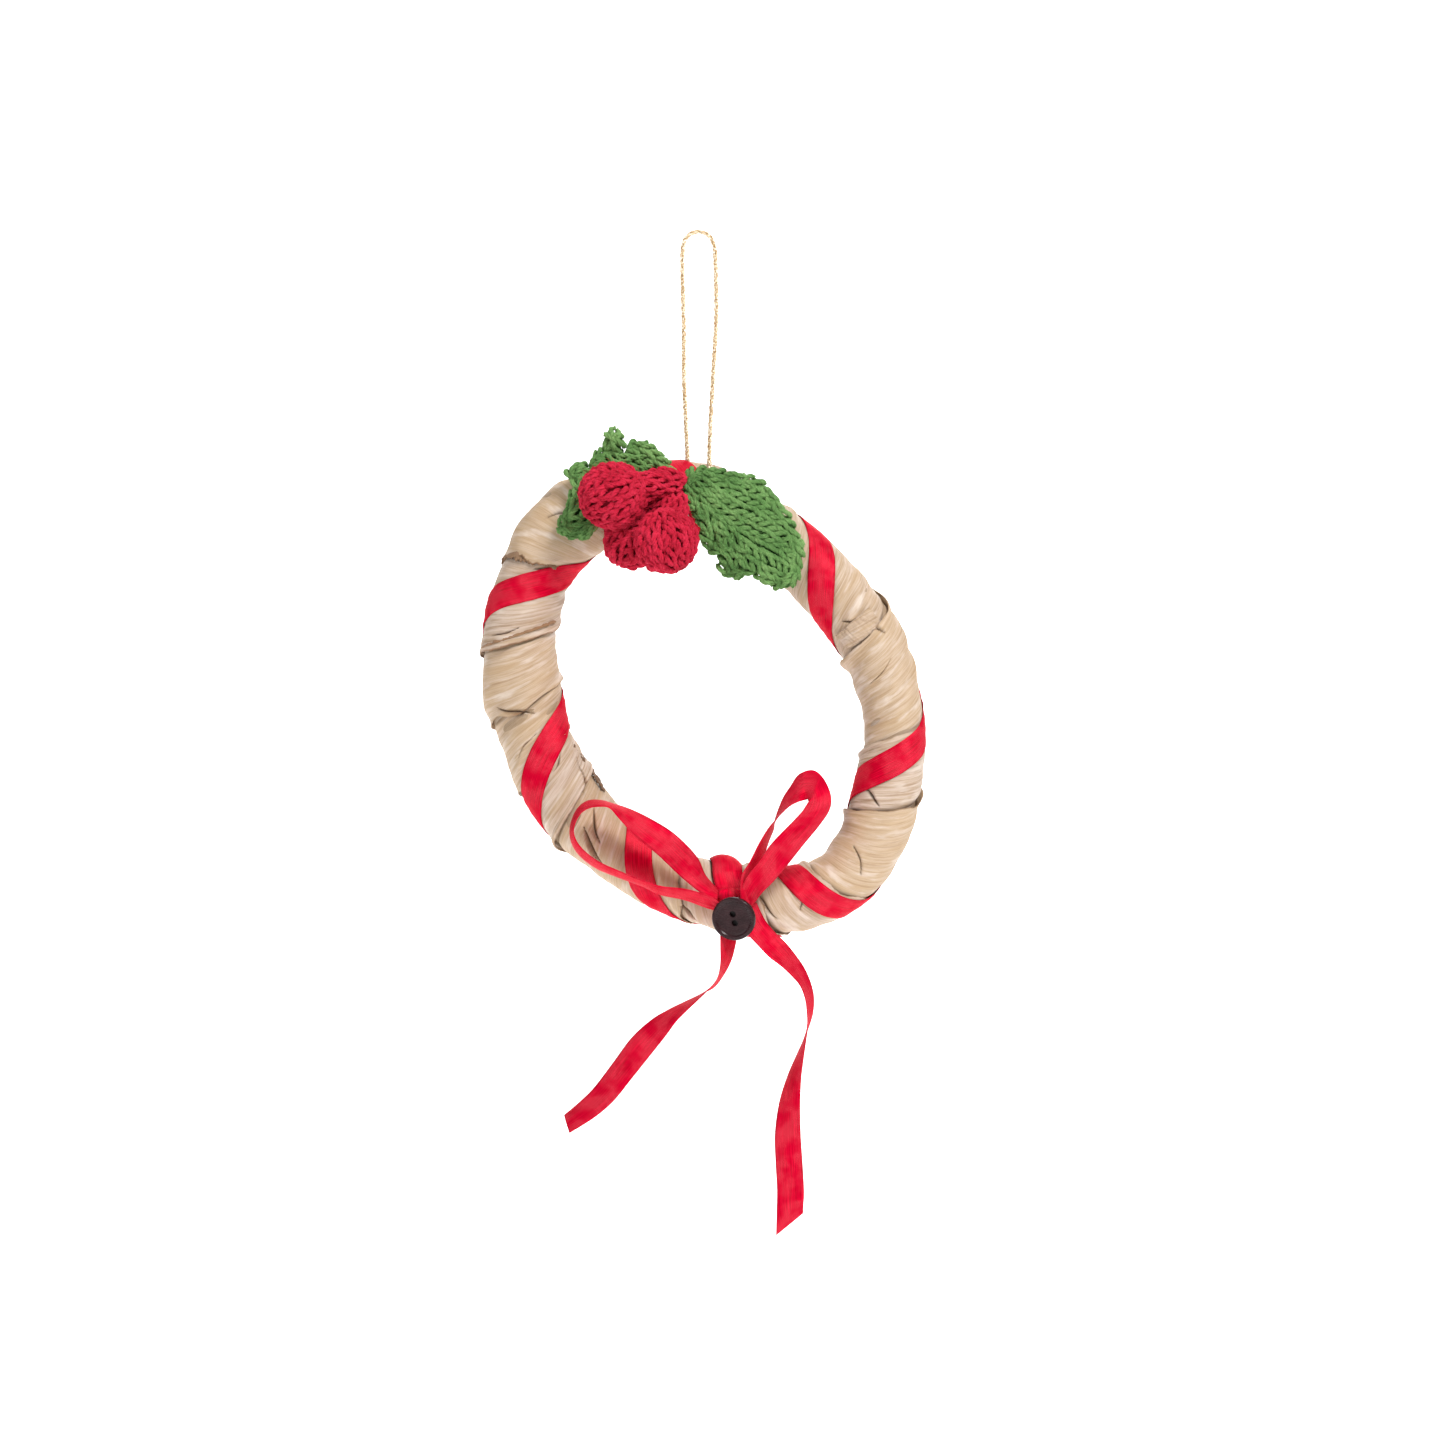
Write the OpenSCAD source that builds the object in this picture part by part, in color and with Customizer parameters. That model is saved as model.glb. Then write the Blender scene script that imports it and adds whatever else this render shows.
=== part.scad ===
// Husk-wrapped Christmas wreath ornament with crochet holly, a ribbon bow and a gold hanging loop.
// Millimetres. +Z is up, -Y is the front. The origin is the inside top of the hanging loop.

/* [Wreath ring] */
// Half of the ring's longer way across, at the middle of the tube
ring_long = 49.9; // [45:0.1:55]
// Half of the ring's shorter way across, at the middle of the tube
ring_short = 38.0; // [34:0.1:42]
// Clockwise turn of the longer way from the top, in degrees
ring_turn = 140.5; // [130:0.5:150]
// Sideways place of the ring's centre
ring_x = 2.1; // [0:0.1:5]
// How far the ring's middle plane lies behind the cord, so that it hangs upright
ring_y = 0.9; // [0:0.1:2]
// Height of the ring's centre
ring_z = -105.8; // [-107:0.1:-105]
// Half thickness of the ring from front to back
ring_half_depth = 7.0; // [6.5:0.1:7]
// Radius of the straw bundle inside the wraps
core_r = 4.5; // [4:0.1:4.8]
// Radius of the thread that binds the straw
thread_r = 0.25; // [0.2:0.05:0.3]
// Number of thread turns round the straw
thread_turns = 18; // [12:1:24]
// Radius of the hollow inside the husk wraps
wrap_bore_r = 5.2; // [5.1:0.05:5.4]

/* [Ribbon] */
// Width of the satin ribbon
ribbon_w = 6.25; // [6:0.05:6.5]
// Thickness of the ribbon's solids
ribbon_th = 0.3; // [0.2:0.05:0.3]
// Gap between the husk and the ribbon wound on it
ribbon_gap = 0.3; // [0.25:0.05:0.4]
// Gap between the husk and what is tied over the wound ribbon
tie_gap = 1.0; // [0.9:0.05:1.1]

/* [Button] */
// Radius of the button
button_r = 5.0; // [4.5:0.1:5.2]
// Thickness of the button
button_th = 2.2; // [2:0.1:2.6]
// Radius of the button's two holes
button_hole_r = 0.65; // [0.5:0.05:0.8]
// Distance between the holes
button_hole_gap = 2.1; // [1.8:0.1:2.6]
// Tilt of the button's face, down and to the left, in degrees
button_tilt = 12; // [8:1:14]

/* [Holly] */
// Thickness of the crochet leaves
leaf_th = 1.5; // [1.2:0.1:1.6]
// Radius of the upper berry
berry_upper_r = 7.4; // [7:0.1:7.5]
// Radius of the lower berry
berry_lower_r = 7.0; // [6.8:0.1:7.1]
// Radius of the berry behind the others
berry_rear_r = 6.1; // [5.8:0.1:6.2]
// Thickness of the crochet shell of a berry
berry_wall = 1.3; // [1:0.1:1.6]
// Radius of the crochet necks that the berries hang from
stem_r = 1.9; // [1.6:0.1:2]

/* [Hanging cord] */
// Radius of the gold cord
cord_r = 0.55; // [0.5:0.05:0.6]
// Height of the line that the wreath swings about, where the cord meets it
swing_z = -50.6; // [-50.8:0.1:-50.4]
// Clear length of cord on each side of a swing line
swing_gap = 0.6; // [0.55:0.05:0.7]
// Radius of the knot behind the ring
knot_r = 1.6; // [1.5:0.1:1.8]

/* [Ribbon tails] */
// Height of the line that the tails swing about
tail_z = -161.4; // [-161.8:0.1:-161.2]
// Depth of that line
tail_y = -9.9; // [-10.1:0.1:-9.7]

/* [Hidden] */

straw_c = [0.80, 0.66, 0.40];
husk_c = [0.86, 0.75, 0.61];
ribbon_c = [0.78, 0.02, 0.12];
green_c = [0.27, 0.55, 0.25];
berry_c = [0.75, 0.12, 0.22];
gold_c = [0.85, 0.66, 0.33];
button_c = [0.18, 0.13, 0.14];
glue_c = [0.92, 0.90, 0.82];
sides = 24;          // points round a husk wrap
step = 5;            // degrees of ring per slice of a wrap
face_gap = 0.05;     // hair gap between glued faces
wrap_gap = 0.15;     // degrees of ring between one husk wrap and the next

// Each husk turn: the angle of its lapped edge clockwise from the top, how far it reaches out from
// and in from the tube's middle line just after that edge, and the same at its far end.
WRAPS = [
    [15, 7.0, 7.0, 8.2, 7.2], [69.5, 7.9, 6.9, 6.8, 6.8], [97, 6.2, 7.2, 5.9, 9.1],
    [123, 6.4, 8.6, 8.4, 5.8], [146, 8.4, 5.8, 8.0, 7.2], [167, 7.6, 7.0, 7.6, 7.0],
    [189, 7.8, 7.0, 9.0, 6.9], [230, 9.2, 7.0, 9.4, 7.5], [248, 8.4, 7.6, 7.7, 8.6],
    [267, 8.8, 9.3, 7.2, 8.4], [286, 8.4, 8.9, 7.0, 8.2], [308, 7.4, 8.4, 10.2, 8.0],
    [326, 8.4, 7.4, 7.0, 7.0]];
LEAN = 10;           // degrees that a wrap's edge runs on from the ring's outside to its inside

// The wound ribbon's centre on the front face, clockwise from the top, one angle for each turn:
// where it comes over the outside and where it goes under the inside.
TURNS = [[29, 62], [99, 118], [143, 158], [188, 213], [235, 264], [294, 315], [348, 372]];

// Centre line of the cord's loop, from its left foot over the hook to its right foot
CORD = [[-2.4, 0, swing_z + swing_gap], [-2.8, 0, -41], [-3.2, 0, -31], [-3.2, 0, -21], [-3.5, 0, -10],
    [-3.5, 0, -4], [-3.2, 0, -2], [-2.5, 0, -0.6], [-1.4, 0, 0.3], [0, 0, 0.6], [1.6, 0, 0.3],
    [2.8, 0, -0.6], [3.6, 0, -2.2], [3.9, 0, -4], [4.1, 0, -10], [4.2, 0, -18], [3.8, 0, -26],
    [3.3, 0, -35], [2.8, 0, -44], [2.6, 0, swing_z + swing_gap]];

// Each ribbon route: a point on the middle line, then the direction across the ribbon there
LOOP_RIGHT = [
    [[11.5, -11.5, -146.5], [0.5, 0.8, -0.3]], [[13.2, -12.3, -142.5], [0.5, 0.8, -0.3]],
    [[15.2, -13.8, -137.5], [0.4, 0.9, -0.2]], [[17.5, -14.3, -133], [0.3, 0.95, -0.1]],
    [[20, -14.5, -128.5], [0.5, 0.85, -0.2]], [[22.6, -14.5, -125.2], [0.7, 0.7, -0.4]],
    [[25.2, -14.3, -123.9], [0.6, 0.75, 0.4]], [[27.4, -13.9, -126], [0.8, 0.6, 0.3]],
    [[26.4, -13.7, -130.2], [0.85, 0.4, 0.3]], [[23.6, -13.3, -134.6], [0.84, 0.2, 0.5]],
    [[20.2, -12.9, -139.2], [0.8, 0.2, 0.55]], [[16.8, -12.5, -143.4], [0.75, 0.3, 0.55]],
    [[14, -11.7, -146.6], [0.7, 0.4, 0.6]]];
LOOP_LEFT = [
    [[3.6, -11.7, -148.4], [0.8, 0.1, 0.6]], [[0.4, -12.5, -144.2], [0.8, 0.1, 0.6]],
    [[-3.4, -13.5, -140.2], [0.7, 0.1, 0.7]], [[-8, -14.5, -136.2], [0.6, 0.1, 0.8]],
    [[-12.6, -15.3, -132.8], [0.45, 0.4, 0.8]], [[-17, -15.7, -130.2], [0.2, 0.8, 0.55]],
    [[-21, -15.7, -129], [0.1, 0.97, 0.2]], [[-24.8, -15.5, -129.4], [-0.1, 0.98, 0.15]],
    [[-27.6, -15.1, -131.8], [-0.2, 0.98, 0.1]], [[-28.6, -14.7, -135.4], [-0.25, 0.97, 0]],
    [[-27.2, -14.3, -139], [-0.2, 0.98, -0.1]], [[-23.6, -14.1, -142], [-0.15, 0.98, -0.15]],
    [[-18.4, -13.9, -145], [-0.1, 0.97, -0.2]], [[-12.4, -13.7, -147.4], [0.05, 0.95, -0.3]],
    [[-6.2, -13.3, -149.2], [0.1, 0.93, -0.4]], [[-0.6, -12.7, -150.6], [0.2, 0.9, -0.45]],
    [[2.6, -12.1, -151.6], [0.3, 0.85, -0.5]]];
TAIL_LEFT = [
    [[6.6, tail_y, tail_z - swing_gap], [1, 0.2, 0]], [[6.3, -10.1, -165], [0.55, 0.85, 0]],
    [[5.4, -10.2, -168.2], [0.35, 0.93, 0.1]], [[3.2, -10.2, -171.2], [0.12, 0.97, 0.2]],
    [[0, -10.1, -173.3], [0, 1, 0.1]], [[-3.6, -10, -175.3], [-0.2, 0.9, 0.4]],
    [[-7.6, -9.9, -178.6], [-0.4, 0.65, 0.6]], [[-11.6, -9.8, -182.6], [-0.6, 0.4, 0.65]],
    [[-15, -9.8, -187], [-0.75, 0.2, 0.6]], [[-18.4, -9.8, -191.4], [-0.75, 0.1, 0.65]],
    [[-22, -9.8, -195.4], [-0.65, 0.2, 0.75]], [[-25.8, -9.8, -198.8], [-0.55, 0.3, 0.8]],
    [[-29.6, -9.8, -201.4], [-0.5, 0.4, 0.8]]];
TAIL_RIGHT = [
    [[17.4, tail_y, tail_z - swing_gap], [1, 0, 0.3]], [[20.6, -10.1, -164.6], [0.8, 0.3, 0.5]],
    [[23, -10.2, -168], [0.7, 0.55, 0.4]], [[24.7, -10.2, -171.8], [0.45, 0.88, 0.2]],
    [[25.2, -10.1, -175.6], [0.25, 0.97, 0]], [[24.8, -10, -179.8], [0, 1, 0]],
    [[23.9, -9.9, -184], [-0.2, 0.97, 0]], [[22.4, -9.8, -188], [-0.4, 0.9, -0.1]],
    [[21.1, -9.7, -192.4], [-0.7, 0.7, -0.15]], [[20.4, -9.7, -197], [-0.9, 0.4, -0.1]],
    [[20.2, -9.7, -202], [-0.97, 0.2, 0]], [[20.4, -9.8, -207.6], [-1, 0, 0]],
    [[20.7, -9.8, -213.6], [-1, 0, 0]], [[20.8, -9.8, -219.4], [-1, 0, 0]],
    [[20.8, -9.8, -225], [-0.8, 0, -0.6]]];

// Leaf outlines, in X and Z
LEAF_LEFT = [[-19.3, -44.3], [-17, -45.8], [-16.7, -47.8], [-14, -46.8], [-10.4, -47.7], [-7.6, -50.4],
    [-4.8, -53.4], [-3.4, -57], [-7, -61], [-13, -62.4], [-20, -64.4], [-24.6, -69.4], [-29, -69.8],
    [-31.6, -66.2], [-29.8, -61.4], [-28.8, -57.2], [-30.2, -54.4], [-26.4, -51.6], [-24.6, -51.6],
    [-21.8, -48.4]];
LEAF_RIGHT = [[-3.4, -54.6], [-1.6, -53], [2.4, -52.8], [6, -53.4], [10, -54], [13, -55.2],
    [16.6, -57.4], [19.6, -61.6], [22.4, -66.6], [24.2, -71.4], [24, -76], [22.6, -79.4], [18.8, -81.2],
    [15.2, -80.2], [11.4, -78], [8.2, -79], [4.8, -77.2], [4.6, -74], [1, -71.6], [-0.4, -65.6],
    [-3, -61.4]];
leaf_y = ring_y - 11.05;
BERRY_UPPER = [-19.1, -17.9, -59.9];
BERRY_LOWER = [-7, -20.5, -70.3];
BERRY_REAR = [-14.9, -9.7, -69.9];
stem_foot = [-4.6, -13.9, -58.2];
BUTTON_AT = [8.45, -12, -154.8];

// ---- The ring's middle line, and points on the wraps ----
function ring_r(t) = ring_long * ring_short
    / norm([ring_short * cos(t - ring_turn), ring_long * sin(t - ring_turn)]);
function ring_at(t) = [ring_x + ring_r(t) * sin(t), ring_y, ring_z + ring_r(t) * cos(t)];
function unit(v) = v / norm(v);
function along(t) = unit(ring_at(t + 0.5) - ring_at(t - 0.5));
function outward(t) = let (a = along(t)) [-a.z, 0, a.x];
function turn_of(t) = let (u = (t - 15) - 360 * floor((t - 15) / 360))
    max([for (i = [0 : len(WRAPS) - 1]) if (WRAPS[i][0] - 15 <= u + 0.001) i]);
function wrap_end(i) = i + 1 < len(WRAPS) ? WRAPS[i + 1][0] : WRAPS[0][0] + 360;
// Reach out and in of wrap i at a share s of its length
function reach(i, s) = [WRAPS[i][1] * (1 - s) + WRAPS[i][3] * s, WRAPS[i][2] * (1 - s) + WRAPS[i][4] * s];
function share(i, t) = let (u = t - 360 * floor((t - 15) / 360)) (u - WRAPS[i][0]) / (wrap_end(i) - WRAPS[i][0]);
function wrap_reach(t) = let (i = turn_of(t)) reach(i, max(0, min(1, share(i, t))));
// The widest reach near an angle, which whatever is wound over the wraps has to clear
function over_reach(t) = let (r = [for (d = [-12 : 3 : 12]) wrap_reach(t + d)])
    [max([for (q = r) q.x]), max([for (q = r) q.y])];
// A point round the tube: angle a is 0 at the outside, 90 at the front, 180 at the inside
function round_at(t, a, out_r, in_r, deep) = let (mid = (out_r - in_r) / 2, half = (out_r + in_r) / 2)
    ring_at(t) + (mid + half * cos(a)) * outward(t) + [0, -deep * sin(a), 0];
// The same point with its slice of the tube leaned, by its distance out from the middle line
function leaned_at(t, a, out_r, in_r, deep) =
    let (v = (out_r - in_r) / 2 + cos(a) * (out_r + in_r) / 2)
    round_at(t - LEAN * v / (2 * ring_half_depth), a, out_r, in_r, deep);
function over_at(t, a, gap) = let (r = over_reach(t))
    round_at(t, a, r.x + gap, r.y + gap, ring_half_depth + gap);

// ---- Swept solids ----
// Faces of a closed sweep of n rings of k points each, with flat ends
function sweep_faces(n, k) = concat(
    [[for (j = [0 : k - 1]) j]],
    [for (i = [0 : n - 2]) for (j = [0 : k - 1])
        let (a = i * k + j, b = i * k + (j + 1) % k) [a, a + k, b + k]],
    [for (i = [0 : n - 2]) for (j = [0 : k - 1])
        let (a = i * k + j, b = i * k + (j + 1) % k) [a, b + k, b]],
    [[for (j = [k - 1 : -1 : 0]) (n - 1) * k + j]]);

// Faces of a swept ribbon of n rings of 4 points, with both wide faces split the same way
function ribbon_faces(n) = concat(
    [[0, 1, 2, 3]],
    [for (i = [0 : n - 2]) for (j = [0 : 3])
        let (a = i * 4 + j, b = i * 4 + (j + 1) % 4, c = a + 4, d = b + 4)
        each j == 0 ? [[a, c, b], [c, d, b]] : [[a, c, d], [a, d, b]]],
    [[for (j = [3 : -1 : 0]) (n - 1) * 4 + j]]);

// A round cord along a list of points
module cord(route, r, k = 8) {
    n = len(route);
    pts = [for (i = [0 : n - 1])
        let (d = unit(route[min(i + 1, n - 1)] - route[max(i - 1, 0)]),
            u = unit(cross(d, abs(d.y) < 0.9 ? [0, 1, 0] : [1, 0, 0])), v = cross(d, u))
        for (j = [0 : k - 1]) route[i] + r * (cos(360 * j / k) * v + sin(360 * j / k) * u)];
    polyhedron(pts, sweep_faces(n, k), convexity = 6);
}

// A flat ribbon along a route of points and directions across it
module ribbon(route) {
    n = len(route);
    pts = [for (i = [0 : n - 1])
        let (d = unit(route[min(i + 1, n - 1)][0] - route[max(i - 1, 0)][0]),
            c = unit(route[i][1] - (route[i][1] * d) * d), f = cross(d, c),
            w = ribbon_w / 2, h = ribbon_th / 2)
        for (q = [[-w, -h], [w, -h], [w, h], [-w, h]]) route[i][0] + q.x * c + q.y * f];
    polyhedron(pts, ribbon_faces(n), convexity = 6);
}

// ---- Ring ----
module straw_core() {
    n = 72;
    k = 16;
    pts = [for (i = [0 : n - 1]) for (j = [0 : k - 1])
        round_at(i * 360 / n, j * 360 / k, core_r, core_r, core_r)];
    faces = [for (i = [0 : n - 1]) for (j = [0 : k - 1])
        let (a = i * k + j, b = i * k + (j + 1) % k, c = ((i + 1) % n) * k + j,
            d = ((i + 1) % n) * k + (j + 1) % k)
        each [[a, c, d], [a, d, b]]];
    color(straw_c) polyhedron(pts, faces, convexity = 6);
}

module core_binding() {
    color(straw_c)
        for (i = [0 : thread_turns - 1])
            let (t = i * 360 / thread_turns, a = along(t))
            translate(ring_at(t))
            rotate([0, atan2(a.x, a.z), 0])
            rotate_extrude($fn = 48) translate([core_r + thread_r, 0]) circle(thread_r, $fn = 16);
}

// One turn of husk: a leaning sleeve round the straw, next to its neighbours
module husk_wrap(i) {
    t0 = WRAPS[i][0];
    t1 = wrap_end(i) - wrap_gap;
    n = ceil((t1 - t0) / step) + 1;
    k = sides;
    pts = [for (m = [0 : n - 1])
        let (s = m / (n - 1), r = reach(i, s))
        for (side = [0, 1]) for (j = [0 : k - 1])
            let (a = j * 360 / k, t = t0 + s * (t1 - t0))
            side == 0 ? leaned_at(t, a, r.x, r.y, ring_half_depth)
                : leaned_at(t, a, wrap_bore_r, wrap_bore_r, wrap_bore_r)];
    skin = [for (m = [0 : n - 2]) for (j = [0 : k - 1])
        let (a = 2 * k * m + j, b = 2 * k * m + (j + 1) % k, c = a + 2 * k, d = b + 2 * k)
        each [[a, c, d], [a, d, b], [a + k, d + k, c + k], [a + k, b + k, d + k]]];
    ends = [for (j = [0 : k - 1])
        let (a = j, b = (j + 1) % k, z = 2 * k * (n - 1))
        each [[a, b, b + k], [a, b + k, a + k], [z + a, z + b + k, z + b], [z + a, z + a + k, z + b + k]]];
    color(husk_c) polyhedron(pts, concat(skin, ends), convexity = 6);
}

// ---- Ribbon ----
// Angle along the ring of the wound ribbon after s turns, counted from the first outside crossing
function wound(s) = let (i = floor(s), f = s - i, n = len(TURNS),
        here = TURNS[i % n], next = TURNS[(i + 1) % n], lap = 360 * floor((i + 1) / n))
    f < 0.5 ? here[0] + (here[1] - here[0]) * f * 2
        : here[1] + (next[0] + lap - here[1]) * (f - 0.5) * 2;

module ribbon_spiral() {
    per = 24;
    last = len(TURNS) * per - 3;
    mid = function (m) over_at(wound(m / per), 360 * m / per, ribbon_gap);
    pts = [for (m = [0 : last])
        let (a = 360 * m / per, t = wound(m / per), p = mid(m),
            d = unit(mid(min(m + 1, last)) - mid(max(m - 1, 0))),
            g = unit(cross(over_at(t + 1, a, ribbon_gap) - p, over_at(t, a + 4, ribbon_gap) - p)),
            f = g * (p - ring_at(t)) > 0 ? g : -g, c = cross(d, f), w = ribbon_w / 2 - 0.3)
        for (q = [[-w, 0], [w, 0], [w, 1], [-w, 1]])
            p + q.x * c + q.y * ribbon_th * f];
    color(ribbon_c) polyhedron(pts, ribbon_faces(last + 1), convexity = 10);
}

module bow_tie_band() {
    n = 25;
    tie = function (a) lookup(a % 360, [[0, 163.7], [20, 165.5], [45, 169.5], [90, 172], [135, 173.5],
        [180, 174.6], [225, 173.5], [270, 171], [315, 167], [360, 163.7]]);
    w = 3.4;
    pts = [for (m = [0 : n - 1])
        let (a = 98 + m * 344 / (n - 1), t = tie(a))
        for (q = [[-w, 0], [w, 0], [w, ribbon_th], [-w, ribbon_th]])
            over_at(t + q.x, a, tie_gap + q.y)];
    color(ribbon_c) polyhedron(pts, ribbon_faces(n), convexity = 6);
}

// The knot's core, and the short ribbon ends that leave it as far as the swing line
module bow_knot() {
    knot_y = -8.9;
    color(ribbon_c) {
        hull() {
            translate([5.2, knot_y, -150]) sphere(1.1, $fn = 24);
            translate([11.6, knot_y, -150]) sphere(1.1, $fn = 24);
            translate([6, knot_y, -155.4]) sphere(1.0, $fn = 24);
            translate([11.4, knot_y, -155.4]) sphere(1.0, $fn = 24);
        }
        ribbon([[[7.2, -8.9, -154.6], [1, 0, 0]], [[6.8, -9.3, -158], [1, 0, 0]],
            [[6.6, tail_y, tail_z + swing_gap], [1, 0.2, 0]]]);
        ribbon([[[11.4, -8.7, -154.6], [1, 0, 0.4]], [[13.8, -9.2, -157.4], [1, 0, 0.5]],
            [[16.2, tail_y, tail_z + swing_gap], [1, 0, 0.1]]]);
    }
}

module bow_loop_left() {
    color(ribbon_c) ribbon(LOOP_LEFT);
}

module bow_loop_right() {
    color(ribbon_c) ribbon(LOOP_RIGHT);
}

module ribbon_tail_left() {
    color(ribbon_c) ribbon(TAIL_LEFT);
}

module ribbon_tail_right() {
    color(ribbon_c) ribbon(TAIL_RIGHT);
}

// ---- Button ----
module on_button() {
    translate(BUTTON_AT) rotate([0, 0, -button_tilt]) rotate([90 + button_tilt, 0, 0]) children();
}

module button() {
    rim = 0.8;
    dish = 0.45;
    color(button_c) on_button()
        difference() {
            union() {
                cylinder(h = button_th - 0.7, r1 = button_r - 0.9, r2 = button_r, $fn = 64);
                translate([0, 0, button_th - 0.7]) cylinder(h = 0.4, r = button_r, $fn = 64);
                translate([0, 0, button_th - 0.3])
                    cylinder(h = 0.3, r1 = button_r, r2 = button_r - 0.3, $fn = 64);
            }
            translate([0, 0, button_th - dish])
                cylinder(h = 1, r = button_r - rim, $fn = 64);
            for (s = [-1, 1])
                translate([0, s * button_hole_gap / 2, -1])
                cylinder(h = button_th + 2, r = button_hole_r, $fn = 32);
        }
}

module button_glue() {
    color(glue_c) on_button() translate([0, 0, -1.7]) cylinder(h = 1.65, r = 1.4, $fn = 32);
}

// ---- Hanging cord ----
module hanging_cord() {
    color(gold_c) cord(CORD, cord_r);
}

// The cord passes round the ring, down the front under the leaves and up the back to the knot
hitch_reach = tie_gap + cord_r + 0.35;
module cord_hitch() {
    left = [for (a = [40 : 14 : 260]) over_at(-3 + a / 60, a, hitch_reach)];
    right = [for (a = [282 : 13 : 334]) over_at(-3 + a / 60, a, hitch_reach)];
    color(gold_c) {
        cord(concat([[-2.4, 0, swing_z - swing_gap]], left), cord_r);
        cord(concat(right, [[2.6, 0, swing_z - swing_gap]]), cord_r);
    }
}

module cord_knot() {
    color(gold_c) translate(over_at(1.5, 271, hitch_reach + 0.9)) sphere(knot_r, $fn = 32);
}

// ---- Holly ----
module leaf(outline) {
    color(green_c) translate([0, leaf_y + leaf_th, 0]) rotate([90, 0, 0])
        linear_extrude(leaf_th) polygon(outline);
}

module holly_leaf_left() {
    leaf(LEAF_LEFT);
}

// The right leaf stops short of the left one, which it meets under the berries
module holly_leaf_right() {
    difference() {
        leaf(LEAF_RIGHT);
        translate([-8, leaf_y - 1, -64]) cube([5, leaf_th + 2, 12]);
    }
}

module holly_glue() {
    color(glue_c)
        for (x = [-14, 12])
            translate([x, leaf_y + leaf_th + face_gap + 0.8, x < 0 ? -56 : -64])
            rotate([90, 0, 0]) cylinder(h = 0.8, r = 2.2, $fn = 32);
}

module berry(at, r) {
    color(berry_c) translate(at)
        difference() {
            sphere(r, $fn = 64);
            sphere(r - berry_wall, $fn = 64);
        }
}

module berry_upper() {
    berry(BERRY_UPPER, berry_upper_r);
}

module berry_lower() {
    berry(BERRY_LOWER, berry_lower_r);
}

module berry_rear() {
    berry(BERRY_REAR, berry_rear_r);
}

// A crochet neck from a berry's skin to a point near the stem's foot
module neck(at, r, foot) {
    d = unit(foot - at);
    color(berry_c) translate(at + (r + face_gap) * d)
        rotate([0, acos(d.z), atan2(d.y, d.x)])
        cylinder(h = norm(foot - at) - r - face_gap, r1 = stem_r, r2 = stem_r - 0.5, $fn = 32);
}

module berry_stem_upper() {
    neck(BERRY_UPPER, berry_upper_r, stem_foot + [-1.2, 0, 1.2]);
}

module berry_stem_lower() {
    neck(BERRY_LOWER, berry_lower_r, stem_foot + [1.2, -1, -2.6]);
}

module berry_stem_rear() {
    neck(BERRY_REAR, berry_rear_r, stem_foot + [-3.2, 0.9, -3]);
}

module berry_stuffing() {
    color(glue_c)
        for (b = [[BERRY_UPPER, berry_upper_r], [BERRY_LOWER, berry_lower_r], [BERRY_REAR, berry_rear_r]])
            translate(b[0]) sphere(b[1] - berry_wall - face_gap, $fn = 48);
}

straw_core();
core_binding();
husk_wrap(0);  // husk_wrap_01
husk_wrap(1);  // husk_wrap_02
husk_wrap(2);  // husk_wrap_03
husk_wrap(3);  // husk_wrap_04
husk_wrap(4);  // husk_wrap_05
husk_wrap(5);  // husk_wrap_06
husk_wrap(6);  // husk_wrap_07
husk_wrap(7);  // husk_wrap_08
husk_wrap(8);  // husk_wrap_09
husk_wrap(9);  // husk_wrap_10
husk_wrap(10);  // husk_wrap_11
husk_wrap(11);  // husk_wrap_12
husk_wrap(12);  // husk_wrap_13
ribbon_spiral();
bow_tie_band();
bow_knot();
bow_loop_left();
bow_loop_right();
ribbon_tail_left();
ribbon_tail_right();
button();
button_glue();
hanging_cord();
cord_hitch();
cord_knot();
holly_leaf_left();
holly_leaf_right();
holly_glue();
berry_upper();
berry_lower();
berry_rear();
berry_stem_upper();
berry_stem_lower();
berry_stem_rear();
berry_stuffing();
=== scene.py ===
import math

import bmesh
import bpy
import numpy as np
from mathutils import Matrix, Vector


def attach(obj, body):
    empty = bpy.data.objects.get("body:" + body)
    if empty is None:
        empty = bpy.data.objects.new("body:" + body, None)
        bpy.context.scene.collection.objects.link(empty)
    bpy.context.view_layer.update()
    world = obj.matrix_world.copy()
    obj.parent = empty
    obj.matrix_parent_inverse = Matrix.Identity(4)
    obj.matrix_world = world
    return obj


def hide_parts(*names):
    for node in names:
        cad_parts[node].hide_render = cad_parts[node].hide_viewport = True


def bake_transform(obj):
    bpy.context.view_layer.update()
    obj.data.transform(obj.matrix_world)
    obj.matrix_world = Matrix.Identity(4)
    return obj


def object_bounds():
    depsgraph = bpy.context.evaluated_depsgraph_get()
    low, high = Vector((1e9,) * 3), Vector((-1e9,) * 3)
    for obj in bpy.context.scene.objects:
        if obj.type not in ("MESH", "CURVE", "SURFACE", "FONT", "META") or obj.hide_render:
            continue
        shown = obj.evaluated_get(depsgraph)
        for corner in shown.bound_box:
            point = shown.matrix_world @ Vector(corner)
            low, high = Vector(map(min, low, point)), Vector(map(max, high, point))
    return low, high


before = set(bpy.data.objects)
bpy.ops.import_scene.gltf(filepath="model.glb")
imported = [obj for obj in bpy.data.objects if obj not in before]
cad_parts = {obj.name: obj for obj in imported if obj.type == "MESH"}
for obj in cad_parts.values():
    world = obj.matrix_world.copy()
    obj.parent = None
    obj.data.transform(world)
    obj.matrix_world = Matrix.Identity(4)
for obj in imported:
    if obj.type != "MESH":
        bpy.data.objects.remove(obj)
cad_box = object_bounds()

# ---------------------------------------------------------------- Camera
# A long lens looks square at the front of the ornament, level with its middle.
MM = 0.001
view_width = 0.3284
view_distance = 1.6
sensor = 36.0
low, high = (np.array(corner) for corner in cad_box)
middle = (low + high) / 2
camera_data = bpy.data.cameras.new("camera")
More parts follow.
